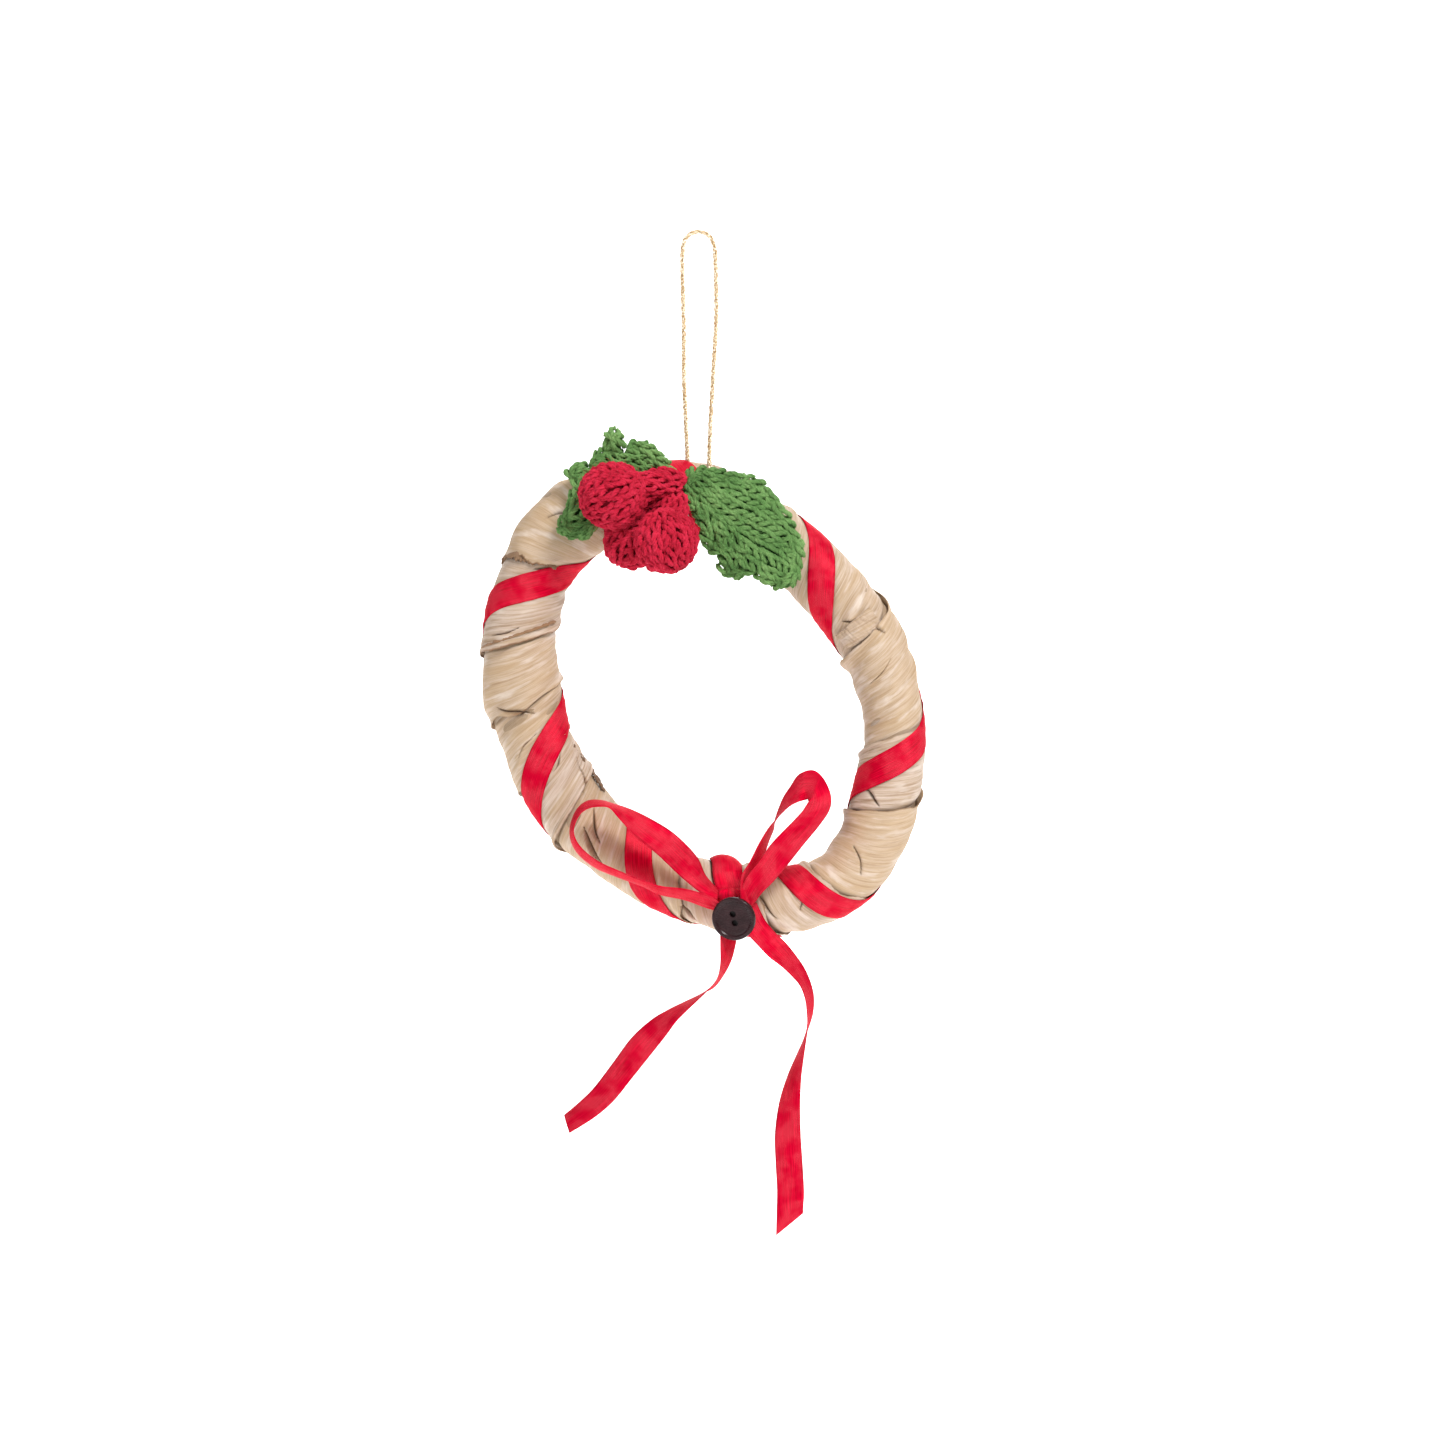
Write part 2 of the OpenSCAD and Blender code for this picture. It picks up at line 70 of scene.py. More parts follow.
camera_data.sensor_width = sensor
camera_data.lens = sensor * view_distance / view_width
camera = bpy.data.objects.new("camera", camera_data)
camera.location = (5.6 * MM, -view_distance, -110.9 * MM)
camera.rotation_euler = (math.radians(90), 0, 0)
bpy.context.scene.collection.objects.link(camera)
bpy.context.scene.camera = camera
bpy.context.scene.view_settings.view_transform = "Standard"


# ---------------------------------------------------------------- Hanging cord
# Three-strand twist of metallic gold thread round a pale core, about 110 mm long. It goes up from
# the ring, over the hook and back, and its ends pass round the ring to a knot at the back.
class Shade:
    """A value in a material: arithmetic on it adds Math nodes, and node() adds any other node."""

    def __init__(self, tree, socket=None):
        self.tree = tree
        self.socket = socket

    def node(self, kind, settings=None, sockets=None, out=0):
        made = self.tree.nodes.new("ShaderNode" + kind)
        for name, value in (settings or {}).items():
            if name == "stops":
                stops = made.color_ramp.elements
                while len(stops) < len(value):
                    stops.new(1)
                for stop, (place, colour) in zip(stops, value):
                    stop.position = place
                    stop.color = (*colour, 1)
            else:
                setattr(made, name, value)
        for name, value in (sockets or {}).items():
            if isinstance(value, Shade):
                self.tree.links.new(value.socket, made.inputs[name])
            else:
                made.inputs[name].default_value = value
        return Shade(self.tree, made.outputs[out])

    def math(self, operation, *others):
        return self.node("Math", {"operation": operation}, dict(enumerate((self, *others))))

    def __add__(self, other):
        return self.math("ADD", other)

    def __radd__(self, other):
        return self.math("ADD", other)

    def __sub__(self, other):
        return self.math("SUBTRACT", other)

    def __rsub__(self, other):
        return (self * -1) + other

    def __mul__(self, other):
        return self.math("MULTIPLY", other)

    def __rmul__(self, other):
        return self.math("MULTIPLY", other)

    def ramp(self, *stops):
        """This value from 0 to 1 as a colour, by places and colours."""
        return self.node("ValToRGB", {"stops": stops}, {0: self})

    def span(self, start, end):
        """0 below start, 1 above end, and smooth between."""
        settings = {"interpolation_type": "SMOOTHSTEP"}
        return self.node("MapRange", settings, {0: self, 1: start, 2: end})

    def mix(self, a, b):
        """Colour a where this value is 0, and b where it is 1."""
        a, b = (c if isinstance(c, Shade) else (*c, 1) for c in (a, b))
        return self.node("Mix", {"data_type": "RGBA"}, {0: self, 6: a, 7: b}, out=2)


def material(name, **uniform):
    """A new material, with values that are the same all over set on its shader's own sockets."""
    made = bpy.data.materials.new(name)
    made.use_nodes = True
    shader = made.node_tree.nodes["Principled BSDF"]
    for key, value in uniform.items():
        shader.inputs[key.replace("_", " ")].default_value = value
    return made, Shade(made.node_tree), shader


def feed(shader, **values):
    """Links values to a shader's sockets."""
    for key, value in values.items():
        value.tree.links.new(value.socket, shader.inputs[key.replace("_", " ")])


def stretched(make, source, scale):
    """Coordinates multiplied by a vector."""
    return make.node("VectorMath", {"operation": "MULTIPLY"}, {0: source, 1: scale})


def noise(make, where, scale, detail=3, roughness=0.5):
    sockets = {"Vector": where, "Scale": scale, "Detail": detail, "Roughness": roughness}
    return make.node("TexNoise", None, sockets)


def bump(make, height, distance, strength=1.0):
    """The normal of a surface raised by height times distance, in metres."""
    sockets = {"Height": height, "Distance": distance, "Strength": strength}
    return make.node("Bump", None, sockets)


def plain(name, dark_c, light_c, scale, stretch, rough):
    made, make, shader = material(name)
    place = make.node("TexCoord", out=3)
    grain = noise(make, stretched(make, place, stretch), scale, detail=3)
    feed(shader, Base_Color=grain.ramp((0.3, dark_c), (0.7, light_c)), Roughness=rough + 0.2 * grain,
         Normal=bump(make, grain, 0.0001))
    return made


def add_mesh(name, points, faces, uv=None, layers=None, smooth=True):
    """A mesh object in metres from points in millimetres, with uv per point and named value layers."""
    mesh = bpy.data.meshes.new(name)
    points = np.asarray(points, dtype=np.float64).reshape(-1, 3)
    mesh.from_pydata([], [], [])
    mesh.vertices.add(len(points))
    mesh.vertices.foreach_set("co", (points * MM).ravel())
    faces = [np.asarray(group, dtype=np.int64).reshape(-1, width) for width, group in faces]
    sizes = np.concatenate([np.full(len(g), g.shape[1]) for g in faces])
    corners = np.concatenate([g.ravel() for g in faces])
    mesh.loops.add(len(corners))
    mesh.loops.foreach_set("vertex_index", corners)
    mesh.polygons.add(len(sizes))
    mesh.polygons.foreach_set("loop_start", np.concatenate([[0], np.cumsum(sizes)[:-1]]))
    mesh.polygons.foreach_set("loop_total", sizes)
    if uv is not None:
        layer = mesh.uv_layers.new(name="uv")
        layer.data.foreach_set("uv", np.asarray(uv).reshape(-1, 2)[corners].ravel())
    for key, values in (layers or {}).items():
        made = mesh.attributes.new(key, "FLOAT", "POINT")
        made.data.foreach_set("value", np.asarray(values, dtype=np.float32).ravel())
    mesh.update(calc_edges=True)
    mesh.validate()
    mesh.polygons.foreach_set("use_smooth", np.full(len(mesh.polygons), smooth))
    piece = bpy.data.objects.new(name, mesh)
    bpy.context.scene.collection.objects.link(piece)
    return piece


def grid_faces(rows, cols, start=0, closed=False):
    """Quads of a grid of rows by cols points; closed joins the last column to the first."""
    i, j = np.meshgrid(np.arange(rows - 1), np.arange(cols if closed else cols - 1), indexing="ij")
    a = i * cols + j
    b = i * cols + (j + 1) % cols
    return start + np.stack([a, b, b + cols, a + cols], -1).reshape(-1, 4)


def unit(v):
    return v / np.maximum(np.linalg.norm(v, axis=-1, keepdims=True), 1e-9)


def smooth_path(points, step):
    """Points evenly spaced along the smooth curve through points, whatever their width."""
    points = np.asarray(points, float)
    ends = np.vstack([2 * points[0] - points[1], points, 2 * points[-1] - points[-2]])
    fine = []
    for k in range(len(points) - 1):
        a, b, c, d = ends[k:k + 4]
        s = np.linspace(0, 1, 24, endpoint=False)[:, None]
        fine.append(0.5 * (2 * b + (c - a) * s + (2 * a - 5 * b + 4 * c - d) * s**2
                           + (3 * b - a - 3 * c + d) * s**3))
    fine = np.vstack(fine + [points[-1:]])
    gone = np.concatenate([[0], np.cumsum(np.linalg.norm(np.diff(fine[:, :3], axis=0), axis=1))])
    count = max(2, int(round(gone[-1] / step)) + 1)
    at = np.linspace(0, gone[-1], count)
    return np.stack([np.interp(at, gone, fine[:, k]) for k in range(points.shape[1])], 1)


def path_frames(path, side):
    """For paths (..., k, 3): directions along them, and two across, the first nearest to side."""
    along = unit(np.gradient(path, axis=-2))
    across = unit(side - (side * along).sum(-1, keepdims=True) * along)
    return along, across, np.cross(along, across)


def tubes(paths, radius, side, sides=6):
    """Closed round tubes along many paths (n, k, 3) at once: points, faces, and uv of the length
    along in mm and the share of the way round. radius may taper."""
    paths = np.asarray(paths, float)
    n, k = paths.shape[:2]
    _, u, v = path_frames(paths, side)
    angle = np.arange(sides) * 2 * math.pi / sides
    radius = np.broadcast_to(radius, (n, k))[..., None, None]
    ring = (paths[:, :, None] + radius * (np.cos(angle)[:, None] * u[:, :, None]
                                          + np.sin(angle)[:, None] * v[:, :, None]))
    start = np.arange(n)[:, None, None] * k * sides
    quads = (start + grid_faces(k, sides, closed=True)[None]).reshape(-1, 4)
    cap = np.arange(sides)
    caps = np.concatenate([(np.arange(n)[:, None] * k * sides + cap[::-1]),
                           (np.arange(n)[:, None] * k * sides + (k - 1) * sides + cap)])
    gone = np.concatenate([np.zeros((n, 1)), np.cumsum(np.linalg.norm(np.diff(paths, axis=1), axis=2), 1)], 1)
    uv = np.stack([np.broadcast_to((gone + 3.7 * np.arange(n)[:, None])[..., None], (n, k, sides)),
                   np.broadcast_to(np.arange(sides) / sides, (n, k, sides))], -1)
    return ring.reshape(-1, 3), [(4, quads), (sides, caps)], uv.reshape(-1, 2)


def twisted(paths, side, strands, offset, turns_per_mm, phase=0.0):
    """Paths of the strands of a twist: (n, strands, k, 3) round paths (n, k, 3)."""
    paths = np.asarray(paths, float)
    _, u, v = path_frames(paths, side)
    gone = np.concatenate([np.zeros((len(paths), 1)),
                           np.cumsum(np.linalg.norm(np.diff(paths, axis=1), axis=2), axis=1)], 1)
    turn = (2 * math.pi * (gone[:, None] * turns_per_mm
                           + np.arange(strands)[None, :, None] / strands) + phase)[..., None]
    return paths[:, None] + offset * (np.cos(turn) * u[:, None] + np.sin(turn) * v[:, None])


FRONT = np.array([0.0, -1.0, 0.0])
swing_z = -50.6
cord_route = [
    [-2.4, 0, swing_z + 0.6], [-2.8, 0, -41], [-3.2, 0, -31], [-3.2, 0, -21], [-3.5, 0, -10],
    [-3.5, 0, -4], [-3.2, 0, -2], [-2.5, 0, -0.6], [-1.4, 0, 0.3], [0, 0, 0.6], [1.6, 0, 0.3],
    [2.8, 0, -0.6], [3.6, 0, -2.2], [3.9, 0, -4], [4.1, 0, -10], [4.2, 0, -18], [3.8, 0, -26],
    [3.3, 0, -35], [2.8, 0, -44], [2.6, 0, swing_z + 0.6]]

gold, make, shader = material("gold_thread", Metallic=0.45, Specular_IOR_Level=0.6)
place = make.node("TexCoord", out=3)
fleck_and_glint = noise(make, place, 2600.0, detail=2)
fibre = noise(make, stretched(make, place, (1, 1, 0.3)), 900.0)
# The palest flecks are partly the pale thread and partly painted glints on the metal
feed(shader, Base_Color=fleck_and_glint.ramp((0.32, (0.26, 0.13, 0.05)), (0.45, (0.60, 0.40, 0.20)),
                                   (0.54, (0.86, 0.70, 0.45)), (0.64, (1.0, 0.96, 0.86))),
     Roughness=0.28 + 0.3 * fibre, Normal=bump(make, fleck_and_glint + fibre, 0.00006))


def gold_cord(name, path):
    """The cord's three strands, each of four twisted threads, as one piece."""
    side = np.array([0.0, 1.0, 0.0])
    strands = twisted(path[None], side, 3, 0.29, 1 / 5.2)[0]
    threads = twisted(strands, side, 4, 0.13, -1 / 1.6).reshape(-1, len(path), 3)
    piece = add_mesh(name, *tubes(threads, 0.135, side, sides=5))
    piece.data.materials.append(gold)
    return piece


# The visible cord starts and ends just inside the ring's top, under the ribbon and leaves
foot_left = np.array([[-2.4, 0, swing_z - 0.3]])
foot_right = np.array([[2.6, 0, swing_z - 1.6]])
whole_cord = smooth_path(np.vstack([foot_left, cord_route, foot_right]), 0.14)
cord_piece = gold_cord("gold_cord_loop", whole_cord)
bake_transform(cord_piece)
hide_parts("hanging_cord")


# ---------------------------------------------------------------- Husk wraps
# Dry husk, about 0.2 mm thick, wound round the straw in lapped turns. Each turn's edge lies over
# the turn before it; the strips crease, gape and brown along their edges, and some are folded.
ring_long, ring_short, ring_turn = 49.9, 38.0, 140.5
ring_centre = np.array([2.1, 0.9, -105.8])
half_depth = 6.85
tube_girth = 46
mm_per_degree = 0.78              # along the tube, a degree of the ring
mm_round = math.radians(7.3)      # round the tube, a degree of its own
split_mm = 0.127                  # the same, as the splits and loose pieces were laid out with

# How full the ring is: an angle clockwise from the top, the reach out from the tube's middle
# line there, and the reach in from it
fullness = np.array([
    [0, 9.2, 6.8], [8, 8.6, 6.8], [16, 7.0, 6.8], [30, 6.8, 6.9], [45, 6.8, 7.1], [60, 7.1, 7.2],
    [70, 7.6, 6.6],
    [80, 7.1, 6.0], [90, 6.6, 6.4], [100, 6.0, 6.7], [110, 5.8, 8.4], [120, 5.6, 8.8],
    [127, 6.4, 8.2], [135, 7.6, 6.4], [145, 8.1, 5.4], [155, 7.9, 6.4], [165, 7.6, 7.0],
    [175, 7.1, 6.8], [185, 7.1, 6.8], [195, 7.2, 6.8], [205, 7.2, 6.8], [215, 8.0, 6.8],
    [225, 8.5, 6.6], [235, 9.0, 6.9], [245, 8.6, 7.1], [255, 7.8, 7.1], [262, 7.4, 8.0],
    [270, 8.3, 8.9], [280, 7.8, 8.2], [288, 6.9, 8.2], [295, 7.8, 8.5], [303, 6.6, 8.0],
    [310, 7.2, 8.0], [318, 9.0, 8.2], [325, 9.9, 7.6], [333, 8.2, 7.2], [343, 7.8, 6.8],
    [352, 9.2, 6.8]])

# Each turn: where its near edge crosses the outside, the front and the inside of the tube; how far
# it stands up there; how much wider it is folded back in a hem; how ragged and how brown it is.
turns = [
    ((8, 14, 22), 0.6, 0.0, 0.2, 0.2), ((62, 69, 72.5), 0.75, 1.7, 0.12, 0.35),
    ((97, 101, 105), 0.6, 1.1, 0.12, 0.5), ((115.5, 122.5, 126.5), 0.75, 0.0, 0.15, 0.6),
    ((139.5, 146.5, 150), 0.6, 0.0, 0.25, 0.4), ((160, 165.5, 168.5), 0.7, 0.8, 0.25, 0.5),
    ((182, 188.5, 196), 0.6, 0.0, 0.25, 0.4), ((225.5, 231, 240), 0.8, 0.9, 0.15, 0.55),
    ((244, 249, 257), 0.55, 0.0, 0.3, 0.6), ((265.5, 267, 275), 0.8, 0.0, 0.12, 0.5),
    ((284, 286, 294), 0.65, 1.0, 0.15, 1.0), ((306, 309, 316), 0.75, 0.0, 0.4, 1.0),
    ((331, 338, 346), 0.6, 0.0, 0.25, 0.3)]
hidden = 4.0      # degrees that a turn runs on under the next
strip_step = 0.29


def ring_at(t):
    turn, lean = np.radians(t), np.radians(t - ring_turn)
    r = ring_long * ring_short / np.hypot(ring_short * np.cos(lean), ring_long * np.sin(lean))
    return ring_centre + np.stack([r * np.sin(turn), 0 * turn, r * np.cos(turn)], -1)


def outward(t):
    d = unit(ring_at(t + 0.5) - ring_at(t - 0.5))
    return np.stack([-d[..., 2], 0 * t, d[..., 0]], -1)


def reach(t):
    """How far the tube reaches out and in at an angle, smoothed over the places that are given."""
    near = [[np.interp(t + d, fullness[:, 0], fullness[:, k], period=360) for k in (1, 2)]
            for d in (-4, 0, 4)]
    return np.mean(near, axis=0)


def tube_at(t, a, lift):
    """A point of the tube's skin: a is 0 at the outside, 90 in front, 180 at the inside."""
    t, a, lift = np.broadcast_arrays(np.asarray(t, float), np.asarray(a, float), lift)
    out_r, in_r = reach(t)
    a = np.radians(a)
    v = (out_r - in_r) / 2 + ((out_r + in_r) / 2 + lift) * np.cos(a)
    point = ring_at(t) + v[..., None] * outward(t)
    point[..., 1] -= (half_depth + lift) * np.sin(a)
    return point


def winding(marks):
    """The line that winds round through marks, as a function of turns: angles on the front, and
    round the back to the next mark."""
    known_s, known_t = [], []
    for lap in (-1, 0, 1):
        for i, (outer, front, inner) in enumerate(marks):
            s = i + lap * len(marks)
            known_s += [s, s + 0.25, s + 0.5]
            known_t += [outer + 360 * lap, front + 360 * lap, inner + 360 * lap]

    def at(s):
        return np.mean([np.interp(s + d, known_s, known_t) for d in (-0.05, 0, 0.05)], axis=0)
    return at


def waves(u, v, seed, scale_u, scale_v, count=7):
    """Smooth random waves of about unit size, with the given lengths along u and v."""
    random = np.random.default_rng(seed)
    total = 0
    for _ in range(count):
        ku, kv = random.uniform(0.5, 1.6, 2) * random.choice([-1, 1], 2) * 2 * math.pi
        total = total + np.sin(u * ku / scale_u + v * kv / scale_v + random.uniform(0, 6.3))
    return total / math.sqrt(count)


def ribs(v, seed, spacing):
    """Uneven ridges across v, from -0.5 to 0.5."""
    heights = np.random.default_rng(seed).uniform(-0.5, 0.5, 400)
    return np.interp(v / spacing + 150, np.arange(400), heights)


def bell(x, middle, width):
    return np.exp(-((x - middle) / width) ** 2)


near_edge = winding([turn[0] for turn in turns])

# Where the ribbon's seven turns cross the outside, the front and the inside, and the tie's line
ribbon_half = 3.125
ribbon_line = winding([(29, 42.5, 61), (99, 108, 118), (143, 151, 158), (188, 203, 213), (235, 251, 264),
                       (294, 302, 315), (348, 356, 371)])
tie_route = np.array([(0, 163.7), (20, 165.5), (45, 169.5), (90, 172.5), (135, 175.5), (180, 177.2),
                      (225, 175.5), (270, 171), (315, 167), (360, 163.7)])


def tie_line(a):
    return np.interp(a % 360, tie_route[:, 0], tie_route[:, 1])


def pressed(t, a):
    """1 where the wound ribbon or the tie holds the husk down, and 0 away from them."""
    t, a = np.broadcast_arrays(t, a)
    best = np.zeros(t.shape)
    for k in range(-2, 10):
        s = k + a / 360
        slope = (ribbon_line(s + 0.02) - ribbon_line(s - 0.02)) / 0.04 * mm_per_degree / tube_girth
        gap = np.abs(t - ribbon_line(s)) * mm_per_degree / np.hypot(1, slope)
        best = np.maximum(best, np.clip((4.7 - gap) / 1.4, 0, 1))
    for lap in (0, 360):
        gap = np.abs(t - lap - tie_line(a)) * mm_per_degree
        best = np.maximum(best, np.clip((4.6 - gap) / 1.4, 0, 1))
    return best * best * (3 - 2 * best)


def top_lift(t, a):
    """How high the wraps stand at a place, for what is wound over them."""
    t, a = np.broadcast_arrays(t, a)
    best = np.zeros(t.shape)
    for k in range(-3, len(turns) + 3):
        s = k + (a % 360) / 360
        start, end = near_edge(s), near_edge(s + 1)
        share = (t - start) / (end - start)
        stands = turns[k % len(turns)][1]
        best = np.where((share >= 0) & (share < 1), 0.05 + stands * (1 - share), best)
    return best * (1 - 0.55 * pressed(t, a))


husk, make, shader = material("husk", Specular_IOR_Level=0.35)
place = make.node("UVMap", {"uv_map": "uv"})
edge_brown = make.node("Attribute", {"attribute_name": "brown"}, out=2)
dark_tone_and_shade_value = make.node("Attribute", {"attribute_name": "deep"}, out=2)
tint = make.node("Attribute", {"attribute_name": "tint"}, out=2)
wander = noise(make, stretched(make, place, (8, 30, 1)), 1.0)
fine = noise(make, stretched(make, place, (14, 900, 1)), 1.0, detail=4, roughness=0.7)
streak = noise(make, stretched(make, place, (9, 160, 1)), 1.0, detail=5, roughness=0.65)
blotch = noise(make, stretched(make, place, (14, 52, 1)), 1.0, detail=3)
veins = make.node("TexWave", {"bands_direction": "Y", "wave_profile": "SAW"},
                  {"Vector": place, "Scale": 210.0, "Distortion": 1.4, "Detail": 2.0,
                   "Detail Scale": 0.6}, out=1)
pale = streak.ramp((0.30, (0.28, 0.175, 0.11)), (0.42, (0.43, 0.305, 0.215)), (0.54, (0.56, 0.435, 0.345)),
                   (0.70, (0.68, 0.575, 0.495)))
warm = fine.ramp((0.34, (0.36, 0.22, 0.10)), (0.6, (0.61, 0.44, 0.26)))
cream = (0.75, 0.65, 0.57)
mottle = noise(make, stretched(make, place, (9, 42, 1)), 1.0, detail=4)
line = noise(make, stretched(make, place, (3, 330, 1)), 1.0, detail=2)
colour = (0.55 * tint + 0.15 * fine).mix(pale, warm)
colour = (mottle.span(0.5, 0.68) * 0.5).mix(colour, (0.47, 0.315, 0.175))
colour = (blotch.span(0.5, 0.74) * 0.65).mix(colour, cream)
colour = (veins.span(0.72, 1.0) * 0.22).mix(colour, (0.34, 0.21, 0.12))
colour = (line.span(0.64, 0.72) * 0.35).mix(colour, (0.28, 0.16, 0.08))
rust = (edge_brown + 0.5 * (streak - 0.5)).span(0.35, 1.0)
colour = (0.85 * rust).mix(colour, (0.22, 0.105, 0.04))
# Painted shade: the gaps of split husk, the band under each turn's edge and the older layer beneath are
# darkened towards near-black; the same value also carries the dark bark and some mottling
colour = (0.93 * dark_tone_and_shade_value).mix(colour, (0.055, 0.026, 0.012))
relief = 0.55 * fine + 0.35 * veins + 0.4 * wander
feed(shader, Base_Color=colour, Roughness=0.36 + 0.3 * fine + 0.1 * blotch,
     Normal=bump(make, relief, 0.00012, 1.0))


# Where the strips part: from an angle of the ring and of the tube to another, how wide, and how far
# the strip on one side stands up
splits = [(59, 112, 70, 60, 0.55, 0.7), (63, 128, 68, 96, 0.35, 0.4), (115.5, 150, 121, 95, 0.5, 0.5),
          (161, 61, 166.5, 106, 0.42, 0.5), (180.5, 33, 186, 58, 0.4, 0.5), (211, 50, 224, 80, 0.55, 0.8),
          (216.5, 80, 227, 116, 0.5, 0.7), (245, 96, 249, 125, 0.35, 0.4), (232, 118, 246, 150, 0.3, 0.3),
          (264.5, 100, 270, 45, 0.5, 0.6), (306.5, 84, 312, 128, 0.45, 0.6), (151, 130, 156, 70, 0.25, 0.3),
          (78, 70, 84, 128, 0.2, 0.25), (196, 40, 203, 88, 0.2, 0.25), (254, 50, 259, 92, 0.2, 0.3),
          (318, 60, 330, 100, 0.3, 0.4), (288, 40, 291, 95, 0.25, 0.3), (134, 120, 139, 70, 0.2, 0.25),
          (40, 232, 48, 300, 0.4, 0.5), (110, 230, 116, 290, 0.4, 0.5), (205, 240, 212, 300, 0.4, 0.5),
          (300, 250, 308, 300, 0.4, 0.5)]


def parted(t, a):
    """How far the husk stands up, how much painted shadow its gaps get and how brown it is, from its splits.
    """
    rise, dark, rust = np.zeros(t.shape), np.zeros(t.shape), np.zeros(t.shape)
    t, a = t % 360, a % 360
    for t0, a0, t1, a1, wide, stand in splits:
        line = np.array([(t1 - t0) * mm_per_degree, (a1 - a0) * split_mm])
        length = np.hypot(*line)
        line = line / length
        x, y = (t - t0) * mm_per_degree, (a - a0) * split_mm
        along = (x * line[0] + y * line[1]) / length
        off = x * line[1] - y * line[0] + 0.35 * np.sin(along * 5 + t0)
        open_ = np.where((along > 0) & (along < 1), np.sin(np.clip(along, 0, 1) * math.pi), 0)
        half = wide * open_ ** 0.6 + 1e-6
        within = np.clip(1.25 * (1 - np.abs(off) / half), 0, 1) * (open_ > 0)
        beside = np.clip(1 - (np.abs(off) - half) / 1.9, 0, 1) * (np.abs(off) >= half) * open_
        rise += stand * beside * np.where(off > 0, 1.0, 0.15) - 0.9 * within
        dark = np.maximum(dark, within)
        rust = np.maximum(rust, open_ * np.exp(-((np.abs(off) - half) / 0.28) ** 2))
    return rise, dark, rust


def strip(t_line, a_line, across, seed, lift, brown, deep, tint):
    """A layer of husk as a grid: t_line and a_line give its near edge, (rows,); across is the
    offset of each column in degrees of the ring, (rows, cols). Returns points, uv and layers."""
    random = np.random.default_rng(seed)
    t = t_line[:, None] + across
    a = np.broadcast_to(a_line[:, None], t.shape)
    u = a * mm_round
    v = across * mm_per_degree
    relief = (0.22 * waves(u, v, seed, 21, 8) + 0.17 * ribs(v + 0.9 * np.sin(u / 9), seed, 1.7)
              + 0.05 * ribs(v + 0.2 * np.sin(u / 5), seed + 1, 0.5))
    hold = pressed(t, a)
    rise, dark, rust = parted(t, a)
    points = tube_at(t, a, lift * (1 - 0.6 * hold) + (relief + rise) * (1 - 0.8 * hold))
    shift = random.uniform(0, 9, 2)
    uv = np.stack([u * 0.01 + shift[0], v * 0.01 + shift[1]], -1)
    size = t.shape
    layers = {"brown": np.broadcast_to(brown, size) + 0.6 * rust,
              "deep": np.maximum(np.broadcast_to(deep, size), dark),
              "tint": np.broadcast_to(tint, size) + 0.4 * ribs(v, seed + 3, 2.6)}
    return points, uv, layers


def join_strips(name, strips, thickness=0.18):
    """Strips as one piece of husk with real thickness."""
    points, uvs, faces, layers, start = [], [], [], {"brown": [], "deep": [], "tint": []}, 0
    for grid, uv, values in strips:
        rows, cols = grid.shape[:2]
        points.append(grid.reshape(-1, 3))
        uvs.append(uv.reshape(-1, 2))
        faces.append(grid_faces(rows, cols, start))
        for key in layers:
            layers[key].append(np.asarray(values[key]).ravel())
        start += rows * cols
    piece = add_mesh(name, np.vstack(points), [(4, np.vstack(faces))], np.vstack(uvs),
                     {key: np.concatenate(value) for key, value in layers.items()})
    solid = piece.modifiers.new("thickness", "SOLIDIFY")
    solid.thickness = thickness * MM
    solid.offset = -1
    piece.data.materials.append(husk)
    return piece


def edge_band(distance, width):
    return np.clip(1 - distance / width, 0, 1)


def husk_turn(i):
    """One lapped turn: the strip that shows, and the older layer under it."""
    _, stands, hem, ragged, brown = turns[i]
    after = turns[(i + 1) % len(turns)]
    s = np.linspace(i - 0.32, i + 0.78, int(1.1 * tube_girth / strip_step))
    a = 360 * (s - i)
    start, end = near_edge(s), near_edge(s + 1)
    u = a * mm_round
    fray = (0.5 * waves(u, 0, 40 + i, 11, 1) + 1.5 * ragged * ribs(u, 60 + i, 0.5)
            + ragged * ribs(u, 70 + i, 0.22))
    cols = int(np.max(end - start + hidden) * 0.8 / strip_step)
    share = np.linspace(0, 1, cols)
    across = share * (end - start + hidden)[:, None] + fray[:, None] * (1 - share) ** 6
    near = (across - fray[:, None] * (1 - share) ** 6) * mm_per_degree
    left = (end - start)[:, None] - across
    gape = 0.35 * np.clip(waves(u, 0, 90 + i, 14, 1), 0, 1.3)[:, None]
    lift = 0.05 + stands * (1 - across / (end - start)[:, None])
    lift = lift + (0.12 + gape) * np.exp(-near / 1.6)
    if hem:
        lift = lift + 0.28 * np.sqrt(np.clip(1 - ((near - hem / 2) / (hem / 2)) ** 2, 0, 1))
    under = left * mm_per_degree
    lift = lift - 0.5 * (under < 0.6) * np.clip((0.6 - under) / 1.2, 0, 1)
    rim = brown * (edge_band(near, 0.45) + 0.35 * edge_band(near, 1.6))
    if hem:
        rim = rim + 0.6 * brown * bell(near, hem, 0.22)
    rim = rim + 0.35 * after[4] * edge_band(under, 2.2)
    # Painted shade on this strip where the next turn's edge lies over it
    deep = 0.75 * edge_band(under, 0.9) * (0.6 + 0.4 * np.clip(waves(u, 0, 30 + i, 9, 1), -1, 1)[:, None])
    tint = 0.5 + 0.5 * np.sin(i * 2.4)
    top = strip(start, a, across, 100 + i, lift, rim, deep, tint)
    older = np.linspace(-hidden, (end - start).max() + hidden, cols // 2)
    below = np.broadcast_to(older, (len(s), len(older)))
    # The older layer beneath gets painted shade all over
    bottom = strip(start, a, below, 200 + i, -0.32 + 0 * below, 0.25, 0.35, 0.9)
    return [top, bottom]


for i in range(len(turns)):
    piece = join_strips(f"husk_turn_{i + 1:02d}", husk_turn(i))
    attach(piece, "wreath")
    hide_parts(f"husk_wrap_{i + 1:02d}")


